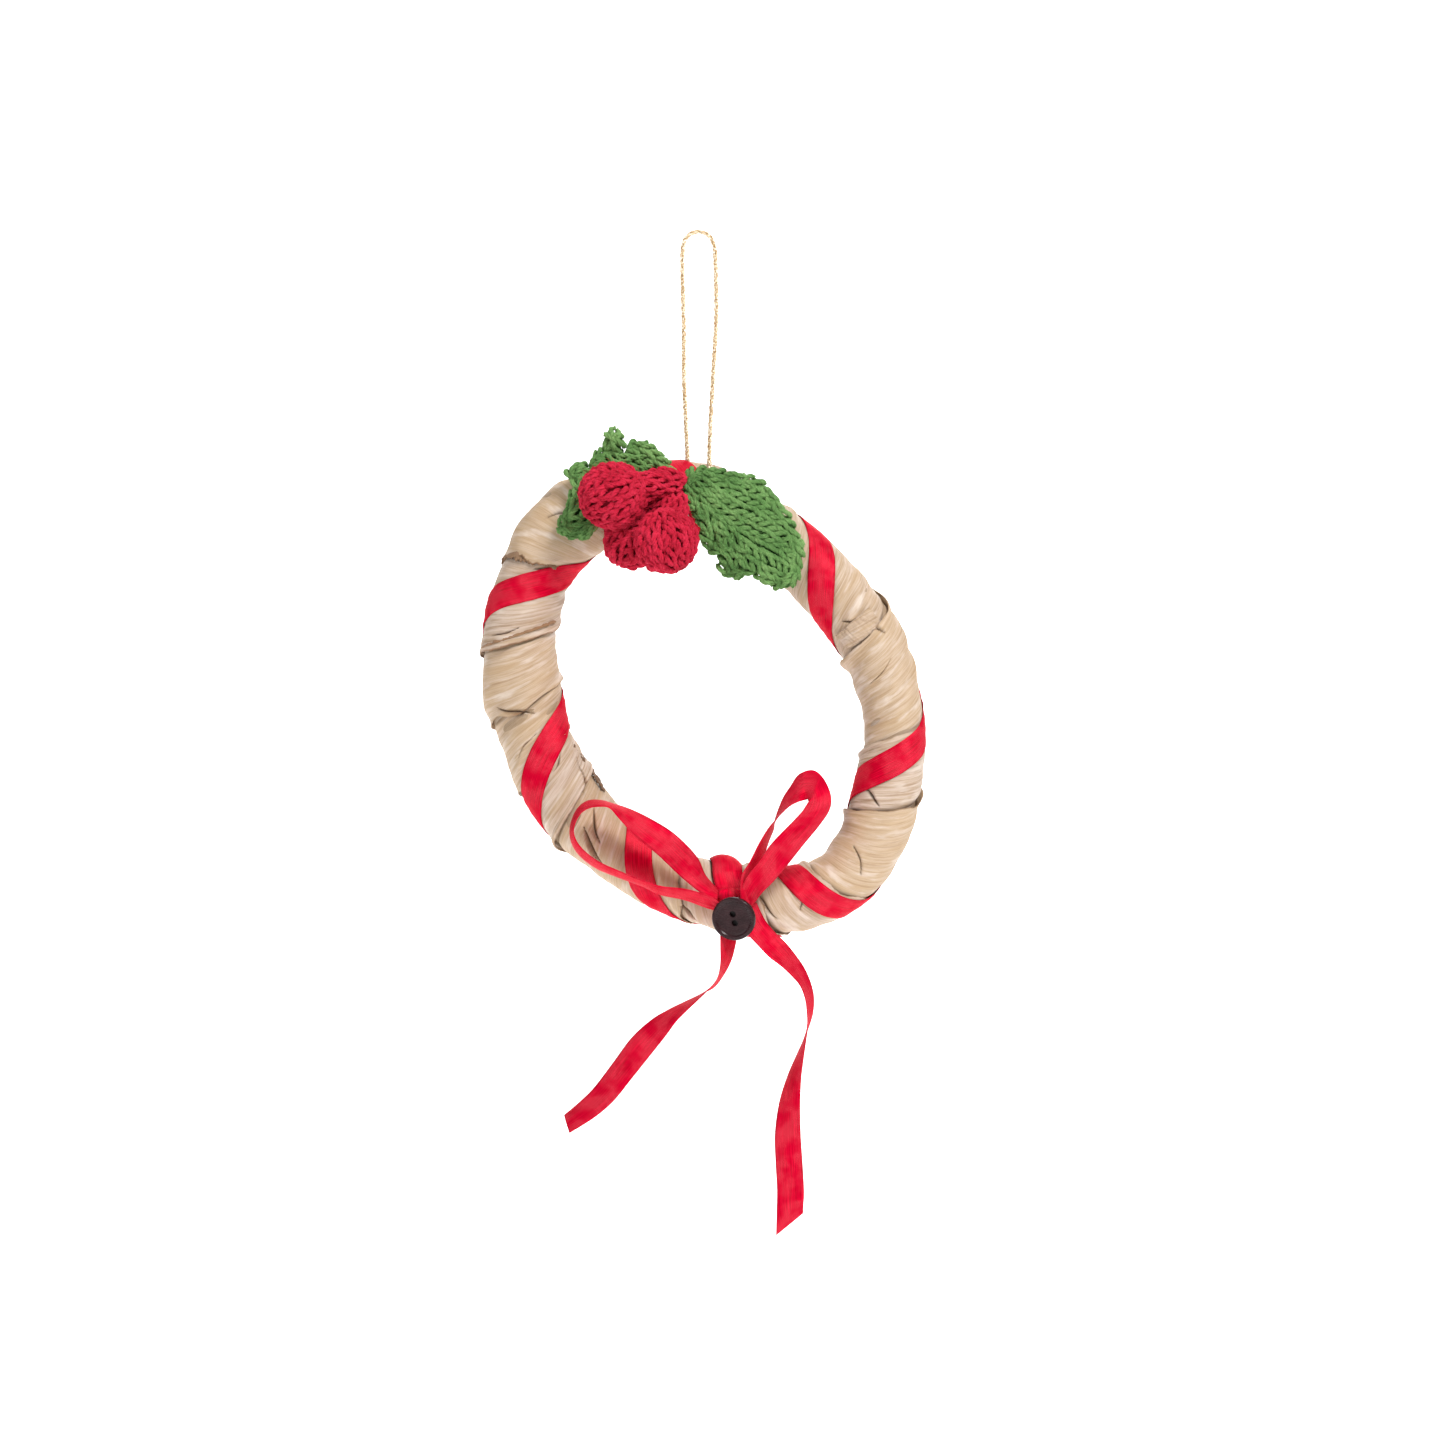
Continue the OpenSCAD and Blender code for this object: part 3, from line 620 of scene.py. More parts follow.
# A strip of dark bark was left along one husk's inner edge, some edges are frayed or doubled, and
# one husk's loose end is rolled up
def loose_piece(name, points, u, v, brown, deep, seed, thickness=0.25):
    """A small loose piece of husk from a grid of points, with its grain along u."""
    values = {"brown": brown + 0.5 * ribs(u * 1.1 + v, seed + 1, 0.5),
              "deep": deep + 0.5 * ribs(u * 0.7 + 3 * v, seed + 2, 0.3),
              "tint": np.full(u.shape, 0.5)}
    piece = join_strips(name, [(points, np.stack([u, v], -1) * 0.01, values)], thickness)
    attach(piece, "wreath")


def loose_edge(name, t, a, lift, brown, deep, seed):
    """A loose strip that lies on the ring."""
    tt, aa = np.broadcast_arrays(t, a)
    u, v = aa * split_mm, tt * mm_per_degree
    rough = 0.22 * ribs(u * 2 + v * 0.3, seed, 0.5) + 0.1 * waves(u, v, seed, 4, 2)
    loose_piece(name, tube_at(tt, aa, lift + rough), u, v, brown, deep, seed)


run = np.linspace(0, 1, 110)[:, None]
wide = np.linspace(0, 1, 12)[None]
ends = np.sin(np.clip(run, 0.004, 0.996) * math.pi) ** 0.4
jag = 4.5 * ribs(run * 24, 3, 0.6) + 3.5 * ribs(run * 24, 4, 0.2)
loose_edge("bark_edge", 228.5 + 22.5 * run, 157 + jag + (22 - jag) * wide * ends,
           0.75 + 0.2 * np.sin(run * 5), 1.1, 0.62, 71)
frayed_a = 20 + 96 * run
frayed_t = (near_edge(11 + frayed_a / 360) - 0.6 + 1.9 * wide * ends
            + 1.1 * ribs(run * 30, 5, 0.35) * (1 - wide))
loose_edge("frayed_edge", frayed_t, frayed_a, 1.0 + 0.3 * np.sin(run * 9) - 0.5 * wide, 0.75, 0.05, 73)
loose_edge("doubled_rim", 285.2 + 9 * run**1.6 + 1.0 * wide * ends, 18 + 132 * run,
           1.35 - 0.9 * wide + 0.2 * np.sin(run * 7), 0.7, 0.0, 74)
loose_edge("folded_layer", 60.5 + 7 * wide + 2 * run, 60 + 75 * run,
           1.0 + 0.9 * np.sin(wide * math.pi) * np.sin(run * math.pi) - 0.5 * wide, 0.35, 0.05, 75)

# The roll is a cone of one and a half millimetres and more, wound just over twice
roll_from, roll_to = tube_at(314.5, 30, -1.0), tube_at(326.6, 16, -1.6)
roll_axis = unit(roll_to - roll_from)
roll_side = unit(np.cross(roll_axis, FRONT))
roll_face = np.cross(roll_side, roll_axis)
roll_long = np.linspace(0, 1, 60)[:, None]
roll_turn = np.linspace(0, 1, 90)[None]
spiral_r = (1.0 + 1.5 * roll_long) * (1 - 0.62 * roll_turn)
spiral_r = spiral_r + 0.06 * ribs(9 * roll_turn, 8, 0.5)
angle = 2 * math.pi * 2.1 * roll_turn + 1.2
roll_end = roll_long * np.linalg.norm(roll_to - roll_from)
roll_end = roll_end + 0.5 * ribs(20 * roll_turn, 9, 0.7) * roll_long**8
roll_points = (roll_from + roll_end[..., None] * roll_axis + (spiral_r * np.cos(angle))[..., None] * roll_side
               + (spiral_r * np.sin(angle))[..., None] * roll_face)
loose_piece("rolled_end", roll_points, roll_end, spiral_r * angle, 0.5 * (roll_long > 0.95),
            0.15 * (roll_long > 0.97), 72, 0.18)


# ---------------------------------------------------------------- Wound ribbon
# Woven red satin ribbon, 6.25 mm wide, wound tightly round the husk seven times. Its lengthwise
# threads float over the crosswise ones, which show as rows of specks; their light colour is a painted
# highlight.
satin, make, shader = material("red_satin", IOR=1.07, Metallic=0.22, Specular_Tint=(0.7, 0.1, 0.14, 1))
thread_step, weave_step = 0.0013, 0.0040
ribbon_uv = make.node("UVMap", {"uv_map": "uv"})
along_it = make.node("SeparateXYZ", None, {0: ribbon_uv})
across_it = make.node("SeparateXYZ", None, {0: ribbon_uv}, out=1)
wobble = noise(make, ribbon_uv, 60.0, detail=2)
thread = across_it * (1 / thread_step) + wobble * 0.7
row = thread.math("FLOOR")
ridge = (thread * math.pi).math("SINE").math("ABSOLUTE")
tie_point = ((along_it * (1 / weave_step) + row * 0.4) * (2 * math.pi)).math("COSINE")
weave_speck_glint = (tie_point * 0.5 + 0.5).span(0.62, 0.98) * ridge
streaks = noise(make, stretched(make, ribbon_uv, (12, 900, 1)), 1.0, detail=3)
patch = noise(make, ribbon_uv, 22.0, detail=2)
colour = streaks.ramp((0.32, (0.34, 0.001, 0.012)), (0.5, (0.52, 0.0015, 0.022)),
                      (0.68, (0.70, 0.004, 0.036)))
# Painted highlight: the specks are mixed towards a pale pinkish red
colour = (weave_speck_glint * 0.6 * patch.span(0.35, 0.62)).mix(colour, (1.0, 0.19, 0.22))
feed(shader, Base_Color=colour, Roughness=0.30 + 0.22 * patch + 0.1 * weave_speck_glint,
     Normal=bump(make, 0.6 * ridge - 0.5 * weave_speck_glint + 1.2 * streaks, 0.00004, 0.8))


def ribbon_piece(name, grid, thickness=0.13):
    """A woven ribbon from a grid of points, (rows along it, columns across it)."""
    rows, cols = grid.shape[:2]
    along = np.concatenate([[0], np.cumsum(np.linalg.norm(np.diff(grid[:, cols // 2], axis=0), axis=1))])
    across = np.concatenate([np.zeros((rows, 1)),
                             np.cumsum(np.linalg.norm(np.diff(grid, axis=1), axis=2), axis=1)], 1)
    uv = np.stack([np.broadcast_to(along[:, None], (rows, cols)), across], -1) * 0.01
    piece = add_mesh(name, grid, [(4, grid_faces(rows, cols))], uv)
    solid = piece.modifiers.new("thickness", "SOLIDIFY")
    solid.thickness = thickness * MM
    solid.offset = 0
    piece.data.materials.append(satin)
    return piece


def on_tube(t, a, lift, half, cols=13):
    """A grid that lies on the tube along a line of angles, half as wide as said on each side."""
    centre = tube_at(t, a, lift)
    e_t = tube_at(t + 0.25, a, lift) - tube_at(t - 0.25, a, lift)
    e_a = tube_at(t, a + 1, lift) - tube_at(t, a - 1, lift)
    along = unit(np.gradient(centre, axis=0))
    normal = unit(np.cross(e_a, e_t))
    side = np.cross(along, normal)
    tt, aa, ta = (e_t * e_t).sum(1) * 4, (e_a * e_a).sum(1) / 4, (e_t * e_a).sum(1)
    st, sa = (side * e_t).sum(1) * 2, (side * e_a).sum(1) / 2
    det = tt * aa - ta * ta
    step_t, step_a = (st * aa - sa * ta) / det, (sa * tt - st * ta) / det
    width = np.linspace(-1, 1, cols)[None] * np.broadcast_to(half, t.shape)[:, None]
    return t[:, None] + step_t[:, None] * width, a[:, None] + step_a[:, None] * width


def smoothed(values, reach_rows):
    """Values averaged along the rows."""
    kernel = np.hanning(2 * reach_rows + 3)[1:-1]
    kernel = kernel / kernel.sum()
    padded = np.pad(values, ((reach_rows, reach_rows), (0, 0)), mode="edge")
    return np.stack([np.convolve(padded[:, k], kernel, mode="valid") for k in range(values.shape[1])], 1)


laps = np.linspace(-0.06, 6.92, 1500)
lap_t, lap_a = ribbon_line(laps), 360 * laps
grid_t, grid_a = on_tube(lap_t, lap_a, 0.5, ribbon_half)
lift = top_lift(grid_t % 360, grid_a)
lift = 0.5 * lift + 0.5 * lift.max(1, keepdims=True)
lift = np.maximum(smoothed(lift, 14), smoothed(top_lift(grid_t % 360, grid_a), 3)) + 0.34
lift = lift + 0.05 * waves(grid_a / 9, grid_t, 5, 14, 5)
spiral = ribbon_piece("wound_ribbon", tube_at(grid_t, grid_a, lift))
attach(spiral, "wreath")
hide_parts("ribbon_spiral")


# ---------------------------------------------------------------- Bow
# The same satin ribbon tied round the ring: a band round the ring, a gathered knot, and two loops
# that are drawn together where they go into the knot.
def band_grid(centre, across, cup=0.0, cols=13, pleat=None):
    """A free ribbon's grid: centre line and half-width vectors (rows, 3); cup bends it across."""
    along = unit(np.gradient(centre, axis=0))
    face = unit(np.cross(along, across))
    w = np.linspace(-1, 1, cols)[None, :, None]
    bend = np.broadcast_to(cup, len(centre))[:, None, None] * (w**2 - 0.4)
    grid = centre[:, None] + w * across[:, None] + bend * face[:, None]
    if pleat is not None:
        grid = grid + (pleat[:, None, None] * np.cos(w * 3 * math.pi)) * face[:, None]
    return grid


def from_edges(rows, depths, step=0.3):
    """A ribbon of full width from where its two edges are seen from the front, (x, z, x, z), with
    its middle line's depths. The first edge is the farther one."""
    rows, depths = np.asarray(rows, float), np.asarray(depths, float)
    middle_line = (rows[:, :2] + rows[:, 2:]) / 2
    half = (rows[:, :2] - rows[:, 2:]) / 2
    path = smooth_path(np.column_stack([middle_line[:, 0], depths, middle_line[:, 1], half]), step)
    seen = np.minimum(np.hypot(path[:, 3], path[:, 4]), ribbon_half)
    across = np.stack([path[:, 3], np.sqrt(ribbon_half**2 - seen**2), path[:, 4]], 1)
    return path[:, :3], across


def gathered(path, across, share):
    """Draws a ribbon together towards its ends, where it goes into the knot."""
    gone = np.linspace(0, 1, len(path))
    tight = np.zeros(len(path))
    for end, amount in zip((0, 1), share):
        tight = np.maximum(tight, amount * np.clip(1 - np.abs(gone - end) / 0.13, 0, 1) ** 1.5)
    return across * (1 - tight)[:, None], 0.5 * tight


loop_left_edges = [
    (4.4, -148.0, 4.6, -151.0), (1.9, -145.0, 1.2, -149.7), (0.0, -141.2, -3.4, -146.0),
    (-5.0, -136.1, -8.8, -140.8), (-10.0, -132.8, -13.6, -136.7), (-15.0, -130.3, -17.3, -132.6),
    (-18.9, -129.0, -19.6, -130.0), (-21.8, -128.2, -21.9, -129.6), (-25.0, -128.4, -24.5, -130.0),
    (-27.6, -130.6, -26.6, -131.5), (-28.95, -134.5, -28.0, -134.7), (-28.7, -138.0, -27.4, -137.6),
    (-26.7, -141.2, -25.1, -140.3), (-23.0, -144.0, -21.8, -142.6), (-18.0, -146.1, -17.3, -144.6),
    (-12.6, -148.1, -12.5, -146.6), (-8.5, -150.0, -8.3, -147.9), (-3.0, -151.2, -2.8, -148.5),
    (2.2, -153.2, 2.2, -149.7), (5.4, -154.0, 4.8, -151.2)]
loop_left_depths = [-11.6, -12.4, -13.3, -14.3, -15.2, -15.6, -15.8, -15.8, -15.7, -15.5, -15.2, -14.9,
                    -14.6, -14.3, -14.1, -13.8, -13.5, -13.1, -12.6, -11.8]
path, across = from_edges(loop_left_edges, loop_left_depths)
across, pleat = gathered(path, across, (0.2, 0.2))
loop_left = ribbon_piece("satin_loop_left", band_grid(path, across, 0.35, pleat=pleat))
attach(loop_left, "wreath")
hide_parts("bow_loop_left")

loop_right_edges = [
    (12.6, -152.0, 9.6, -151.6), (13.2, -146.2, 9.9, -145.9), (15.3, -140.6, 11.9, -142.3),
    (16.3, -137.7, 13.9, -138.3), (17.4, -134.9, 15.9, -135.0), (17.6, -132.8, 17.5, -133.1),
    (19.3, -128.2, 20.5, -130.1), (21.1, -125.3, 22.6, -128.9), (22.6, -122.9, 23.9, -128.5),
    (24.4, -121.8, 24.5, -128.3), (26.3, -121.7, 24.9, -128.2), (28.0, -123.0, 24.9, -128.5),
    (29.5, -125.8, 24.8, -128.9), (30.1, -128.4, 24.2, -129.8), (29.5, -131.0, 23.3, -131.1),
    (27.3, -134.2, 21.2, -133.3), (23.9, -138.3, 18.4, -136.1), (20.6, -142.5, 16.1, -138.7),
    (17.4, -146.3, 13.7, -142.3), (14.4, -149.6, 10.8, -145.8), (12.6, -152.6, 8.9, -149.8)]
loop_right_depths = [-11.0, -12.2, -12.8, -13.1, -13.2, -13.3, -13.4, -13.5, -13.6, -13.8, -14.2, -14.7,
                     -15.2, -15.6, -15.7, -15.6, -15.2, -14.6, -13.8, -12.6, -11.2]
path, across = from_edges(loop_right_edges, loop_right_depths)
across, pleat = gathered(path, across, (0.1, 0.15))
loop_right = ribbon_piece("satin_loop_right", band_grid(path, across, 0.3, pleat=pleat))
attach(loop_right, "wreath")
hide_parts("bow_loop_right")

# The band goes round the ring once and stands up in a small tab at the ring's inside
around = np.linspace(96, 444, 300)
stand = 0.95 + 1.9 * bell(around, 165, 36) + 0.3 * bell(around, 96, 25) + 0.3 * bell(around, 444, 25)
narrow = 3.5 - 0.4 * bell(around, 90, 28) - 1.4 * bell(around, 450, 38)
grid_t, grid_a = on_tube(tie_line(around), around, 0.8, narrow)
edge = np.linspace(-1, 1, grid_t.shape[1])[None]
rounded = 1.7 * np.abs(edge)**2.5 * bell(around, 176, 34)[:, None]
lift = np.broadcast_to(stand[:, None], grid_t.shape) - rounded
lift = np.maximum(lift, smoothed(top_lift(grid_t, grid_a), 4) + 0.45)
tie = ribbon_piece("bow_tie", tube_at(grid_t, grid_a, lift))
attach(tie, "wreath")
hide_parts("bow_tie_band")

# The knot is a short pleated bolster of ribbon, drawn tight under the button
turn, tall = np.meshgrid(np.linspace(0, 2 * math.pi, 97)[:-1], np.linspace(-1, 1, 33), indexing="xy")
body = (1 - 0.32 * (1 - np.abs(tall)) ** 2) * np.sqrt(np.clip(1 - (np.abs(tall) ** 5), 0.02, 1))
folds = 1 + 0.07 * np.cos(turn * 9 + 1.5 * tall) + 0.05 * np.cos(turn * 5 - tall)
knot_points = np.stack([7.6 + 4.3 * body * folds * np.cos(turn) - 0.3 * tall,
                        -9.9 + 2.0 * body * folds * np.sin(turn),
                        -152.4 + 4.2 * tall + 0 * turn], -1)
knot_uv = np.stack([tall * 0.042, turn * 0.04], -1)
knot = add_mesh("satin_knot", knot_points, [(4, grid_faces(33, 96, closed=True))], knot_uv)
knot.data.materials.append(satin)
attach(knot, "wreath")
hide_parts("bow_knot")


# ---------------------------------------------------------------- Ribbon tails
# The bow's two free ends, about 64 mm and 77 mm long. Each turns edge-on once on its way down, and
# is cut on a slant. They bend at the knot.
tail_left_edges = [
    (9.4, -153.5, 5.2, -153.5), (8.9, -157.6, 5.0, -157.6), (8.4, -161.2, 5.0, -161.4),
    (7.4, -164.8, 5.0, -165.0), (5.7, -168.0, 4.4, -168.1), (3.6, -170.7, 3.1, -170.2),
    (0.4, -172.3, 0.2, -173.1), (-3.4, -174.1, -2.5, -175.7), (-7.0, -175.9, -5.0, -178.3),
    (-10.6, -178.1, -7.2, -181.4), (-15.0, -182.1, -10.5, -185.7), (-19.4, -188.0, -15.0, -191.3),
    (-23.6, -193.5, -19.0, -196.2), (-27.2, -197.0, -23.2, -199.8), (-30.3, -199.6, -29.0, -203.4)]
tail_left_depths = [-9.4, -9.6, -9.9, -10.1, -10.2, -10.2, -10.1, -10.0, -9.9, -9.8, -9.8, -9.8, -9.8,
                    -9.8, -9.8]
tail_right_edges = [
    (13.2, -151.6, 8.4, -154.9), (15.0, -155.4, 10.9, -158.4), (17.2, -158.2, 13.3, -161.0),
    (20.0, -161.0, 16.0, -163.8), (22.2, -163.8, 18.6, -165.8), (24.0, -166.5, 21.0, -168.0),
    (25.4, -169.8, 23.0, -170.4), (26.1, -173.0, 24.1, -173.4), (25.9, -176.6, 24.5, -176.6),
    (24.9, -180.0, 24.6, -180.0), (23.9, -182.4, 24.3, -182.3), (22.1, -186.3, 23.8, -186.0),
    (20.1, -191.0, 23.2, -191.0), (18.3, -197.0, 23.0, -197.0), (17.4, -204.0, 23.2, -204.0),
    (17.6, -211.0, 23.7, -211.0), (17.9, -217.0, 24.0, -217.0), (17.7, -226.8, 23.8, -221.8)]
tail_right_depths = [-9.0, -9.3, -9.6, -9.9, -10.1, -10.2, -10.2, -10.2, -10.1, -10.0, -9.9, -9.8, -9.7,
                     -9.7, -9.7, -9.8, -9.8, -9.8]


def ribbon_tail(side, edges, depths):
    path, across = from_edges(edges, depths)
    piece = ribbon_piece(f"satin_tail_{side}", band_grid(path, across, 0.28))
    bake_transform(piece)
    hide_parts(f"ribbon_tail_{side}")


ribbon_tail("left", tail_left_edges, tail_left_depths)
ribbon_tail("right", tail_right_edges, tail_right_depths)


# ---------------------------------------------------------------- Button
# Dark plum two-hole button, 10 mm across, turned from moulded resin with a raised rim and a shallow
# dish. It is glued to the knot, and faces a little down and to the left.
resin, make, shader = material("dark_resin", IOR=1.3)
place = make.node("TexCoord", out=3)
cloud = noise(make, place, 420.0, detail=4, roughness=0.6)
scratch = noise(make, stretched(make, place, (1, 1, 6)), 1500.0, detail=2)
feed(shader, Base_Color=cloud.ramp((0.3, (0.015, 0.005, 0.006)), (0.7, (0.034, 0.014, 0.016))),
     Roughness=0.16 + 0.22 * scratch, Normal=bump(make, cloud + 0.4 * scratch, 0.00002, 0.7))
button_at = np.array([8.45, -12.0, -154.8])
button_tilt = math.radians(12)
face_to = unit(np.array([-math.sin(button_tilt) * math.cos(button_tilt), -math.cos(button_tilt)**2,
                         -math.sin(button_tilt)]))
face_side = unit(np.cross(face_to, [0.0, 0.0, 1.0]))
face_up = np.cross(face_side, face_to)
outline = smooth_path([(0.0, 0, 0), (3.4, 0, 0), (4.1, 0, 0.12), (4.75, 0, 0.7), (5.0, 0, 1.25),
                       (4.98, 0, 1.75), (4.8, 0, 2.1), (4.45, 0, 2.22), (4.1, 0, 2.1), (3.85, 0, 1.85),
                       (3.4, 0, 1.72), (2.0, 0, 1.62), (0.0, 0, 1.6)], 0.11)
turned_sides = 128
spin = np.arange(turned_sides) * 2 * math.pi / turned_sides


def turned(name, outline):
    """A piece turned round the button's axis, from its outline."""
    out = np.cos(spin)[:, None] * face_side + np.sin(spin)[:, None] * face_up
    points = button_at + outline[:, None, :1] * out + outline[:, None, 2:] * face_to
    return add_mesh(name, points, [(4, grid_faces(len(outline), turned_sides, closed=True))])


button = turned("two_hole_button", outline)
for which in (-1, 1):
    cutter_mesh = bmesh.new()
    bmesh.ops.create_cone(cutter_mesh, cap_ends=True, segments=40, radius1=0.68 * MM, radius2=0.78 * MM,
                          depth=6 * MM)
    cutter_data = bpy.data.meshes.new("button_hole")
    cutter_mesh.to_mesh(cutter_data)
    cutter_mesh.free()
    cutter = bpy.data.objects.new("button_hole", cutter_data)
    cutter.rotation_euler = Vector(face_to).to_track_quat("Z", "Y").to_euler()
    cutter.location = (button_at + face_to + which * 1.05 * unit(face_up + 0.18 * face_side)) * MM
    bpy.context.scene.collection.objects.link(cutter)
    hole = button.modifiers.new("hole", "BOOLEAN")
    hole.object = cutter
    hole.operation = "DIFFERENCE"
    hole.solver = "EXACT"
    bpy.context.view_layer.objects.active = button
    bpy.ops.object.modifier_apply(modifier="hole")
    bpy.data.objects.remove(cutter)
soften = button.modifiers.new("worn_edges", "BEVEL")
soften.width = 0.09 * MM
soften.segments = 3
soften.limit_method = "ANGLE"
soften.angle_limit = math.radians(50)
button.data.materials.clear()
button.data.materials.append(resin)
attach(button, "wreath")
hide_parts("button")

# Glue fills the space behind the holes; its near-black colour is painted shade for the holes
glue_outline = [(0.0, 0, -1.7), (2.7, 0, -1.6), (3.0, 0, -0.9), (2.5, 0, -0.02), (0.0, 0, -0.02)]
glue = turned("glue_under_button", smooth_path(glue_outline, 0.2))
glue.data.materials.append(
    plain("glue_painted_shade", (0.008, 0.004, 0.004), (0.02, 0.012, 0.011), 600.0, (1, 1, 1), 0.4))
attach(glue, "wreath")
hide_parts("button_glue")


# ---------------------------------------------------------------- Crochet holly: the yarn
# Three-ply cotton yarn, worked in single crochet. Each stitch is a V of two thick legs, and each
# leg shows its three twisted plies; the cloth behind the stitches is a darker copy of the yarn, as painted
# shade.
def yarn(name, deep_c, mid_c, light_c):
    made, make, shader = material(name, Specular_IOR_Level=0.2, Sheen_Weight=0.35, Sheen_Roughness=0.5,
                                  Sheen_Tint=(*light_c, 1))
    place = make.node("TexCoord", out=3)
    wound = make.node("UVMap", {"uv_map": "uv"})
    fibre = noise(make, stretched(make, wound, (1.3, 11, 1)), 1.0, detail=4, roughness=0.75)
    fuzz = noise(make, place, 3800.0, detail=3, roughness=0.7)
    dye = noise(make, place, 230.0, detail=3)
    colour = (0.45 * fibre + 0.2 * fuzz + 0.35 * dye).ramp((0.36, deep_c), (0.5, mid_c), (0.63, light_c))
    feed(shader, Base_Color=colour, Roughness=0.82 + 0.15 * fuzz,
         Normal=bump(make, fibre + 0.6 * fuzz, 0.00018, 1.0))
    return made


green_yarn = yarn("green_yarn", (0.035, 0.11, 0.025), (0.125, 0.265, 0.075), (0.26, 0.44, 0.155))
# Painted shade: darker copies of the yarns, for the cloth seen in the gaps between stitches
green_cloth_painted_shade = yarn("green_yarn_painted_shade", (0.012, 0.045, 0.008), (0.025, 0.08, 0.016), (0.045, 0.12, 0.028))
red_yarn = yarn("red_yarn", (0.30, 0.002, 0.012), (0.53, 0.010, 0.038), (0.72, 0.032, 0.078))
red_cloth_painted_shade = yarn("red_yarn_painted_shade", (0.14, 0.001, 0.006), (0.22, 0.003, 0.014), (0.30, 0.006, 0.022))

# One leg of a stitch, as shares of the stitch's width and height, and mm out from the cloth
leg_shape = smooth_path([(0.03, -0.70, -0.8), (0.08, -0.48, -0.05), (0.17, -0.20, 0.36), (0.26, 0.08, 0.48),
                         (0.32, 0.34, 0.36), (0.34, 0.58, 0.0), (0.30, 0.76, -0.8)], 0.2)


def stitches(place, side, up, out, wide, tall, seed, thick=1.0, sides=6, hairy=True):
    """Yarn for many V stitches, with stray fibres if hairy: places and directions (n, 3), widths
    and heights (n,). Gives points, faces and uv."""
    random = np.random.default_rng(seed)
    n = len(place)
    sway = random.normal(0, 0.22, (n, 1))
    side, up = np.cos(sway) * side + np.sin(sway) * up, np.cos(sway) * up - np.sin(sway) * side
    legs = []
    for hand in (-1, 1):
        jitter = random.normal(0, 1, (n, 5))
        s = hand * wide[:, None] * leg_shape[:, 0] * (1 + 0.12 * jitter[:, :1])
        u = tall[:, None] * leg_shape[:, 1] * (1 + 0.09 * jitter[:, 1:2]) + 0.14 * jitter[:, 2:3]
        o = thick * leg_shape[:, 2] * (1 + 0.2 * jitter[:, 3:4]) + 0.12 * jitter[:, 4:]
        legs.append(place[:, None] + s[..., None] * side[:, None] + u[..., None] * up[:, None]
                    + o[..., None] * out[:, None])
    legs = np.concatenate(legs)
    phase = random.uniform(0, 6.3, (len(legs), 1, 1))
    hint = np.concatenate([out, out])[:, None] + 0.01
    # Stray fibres stand off the yarn
    start = legs[:, random.integers(3, len(leg_shape) - 3, 4)].reshape(-1, 3)
    lean = unit(random.normal(0, 1, start.shape) + 0.6 * np.repeat(hint[:, 0], 4, 0))
    bent = random.normal(0, 0.45, start.shape)
    along = np.linspace(0.3, 1, 4)[None, :, None]
    hairs = start[:, None] + lean[:, None] * along * random.uniform(0.6, 1.5, (len(start), 1, 1))
    hairs = hairs + bent[:, None] * along**2
    fuzz = tubes(hairs, 0.028, np.array([0.3, 0.2, 0.9]), sides=3)
    plies = twisted(legs, hint, 3, 0.24 * thick, 1 / 3.6, phase)
    spun = tubes(plies.reshape(-1, *legs.shape[1:]), 0.31 * thick, np.repeat(hint, 3, 0), sides)
    return combine([spun, fuzz] if hairy else [spun])


def combine(parts):
    """Several sets of points, faces and perhaps uv as one."""
    points, faces, uvs, start = [], [], [], 0
    for some_points, some_faces, *some_uv in parts:
        some_points = np.asarray(some_points).reshape(-1, 3)
        points.append(some_points)
        faces += [(width, np.asarray(group) + start) for width, group in some_faces]
        uvs.append(some_uv[0] if some_uv else some_points[:, :2])
        start += len(some_points)
    return np.vstack(points), faces, np.vstack(uvs)


def yarn_piece(name, parts, yarns, replaced):
    """A crochet piece: the first parts are its yarn, and the last is the cloth inside."""
    piece = add_mesh(name, *combine(parts))
    for made in yarns:
        piece.data.materials.append(made)
    inner = sum(len(np.asarray(group).reshape(-1, width)) for width, group in parts[-1][1])
    index = np.zeros(len(piece.data.polygons), dtype=np.int32)
    index[-inner:] = 1
    piece.data.polygons.foreach_set("material_index", index)
    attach(piece, "wreath")
    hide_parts(replaced)
    return piece


def axes_round(axis):
    a = unit(np.cross(axis, [0.3, 0.2, 0.93]))
    return a, np.cross(axis, a)


# ---------------------------------------------------------------- Berries
# Three balls of red crochet, worked in rounds from a closed ring and stuffed, 15, 14 and 12 mm across.
stitch_wide, stitch_tall = 2.45, 2.1


def ball_cells(centre, radius, pole, seed):
    """Places, directions and sizes of the stitches on a ball, round by round from its pole."""
    random = np.random.default_rng(seed)
    rounds = int(round(math.pi * radius / stitch_tall))
    a, b = axes_round(pole)
    cells = []
    for k in range(rounds):
        polar = math.pi * (k + 0.62) / (rounds + 0.24)
        girth = 2 * math.pi * radius * math.sin(polar)
        count = max(5, int(round(girth / stitch_wide)))
        turn = 2 * math.pi * (np.arange(count) / count) + random.uniform(0, 1) + random.normal(0, 0.06, count)
        lean = polar + 0.25 * math.pi / rounds * (np.arange(count) / count - 0.5)
        out = (np.cos(lean)[:, None] * pole + np.sin(lean)[:, None]
               * (np.cos(turn)[:, None] * a + np.sin(turn)[:, None] * b))
        side = -np.sin(turn)[:, None] * a + np.cos(turn)[:, None] * b
        bulge = 1 + 0.02 * np.sin(3 * turn + k)
        cells.append((centre + radius * bulge[:, None] * out, side, np.cross(side, out), out,
                      np.full(count, girth / count), np.full(count, math.pi * radius / rounds)))
    return [np.concatenate(column) for column in zip(*cells)]


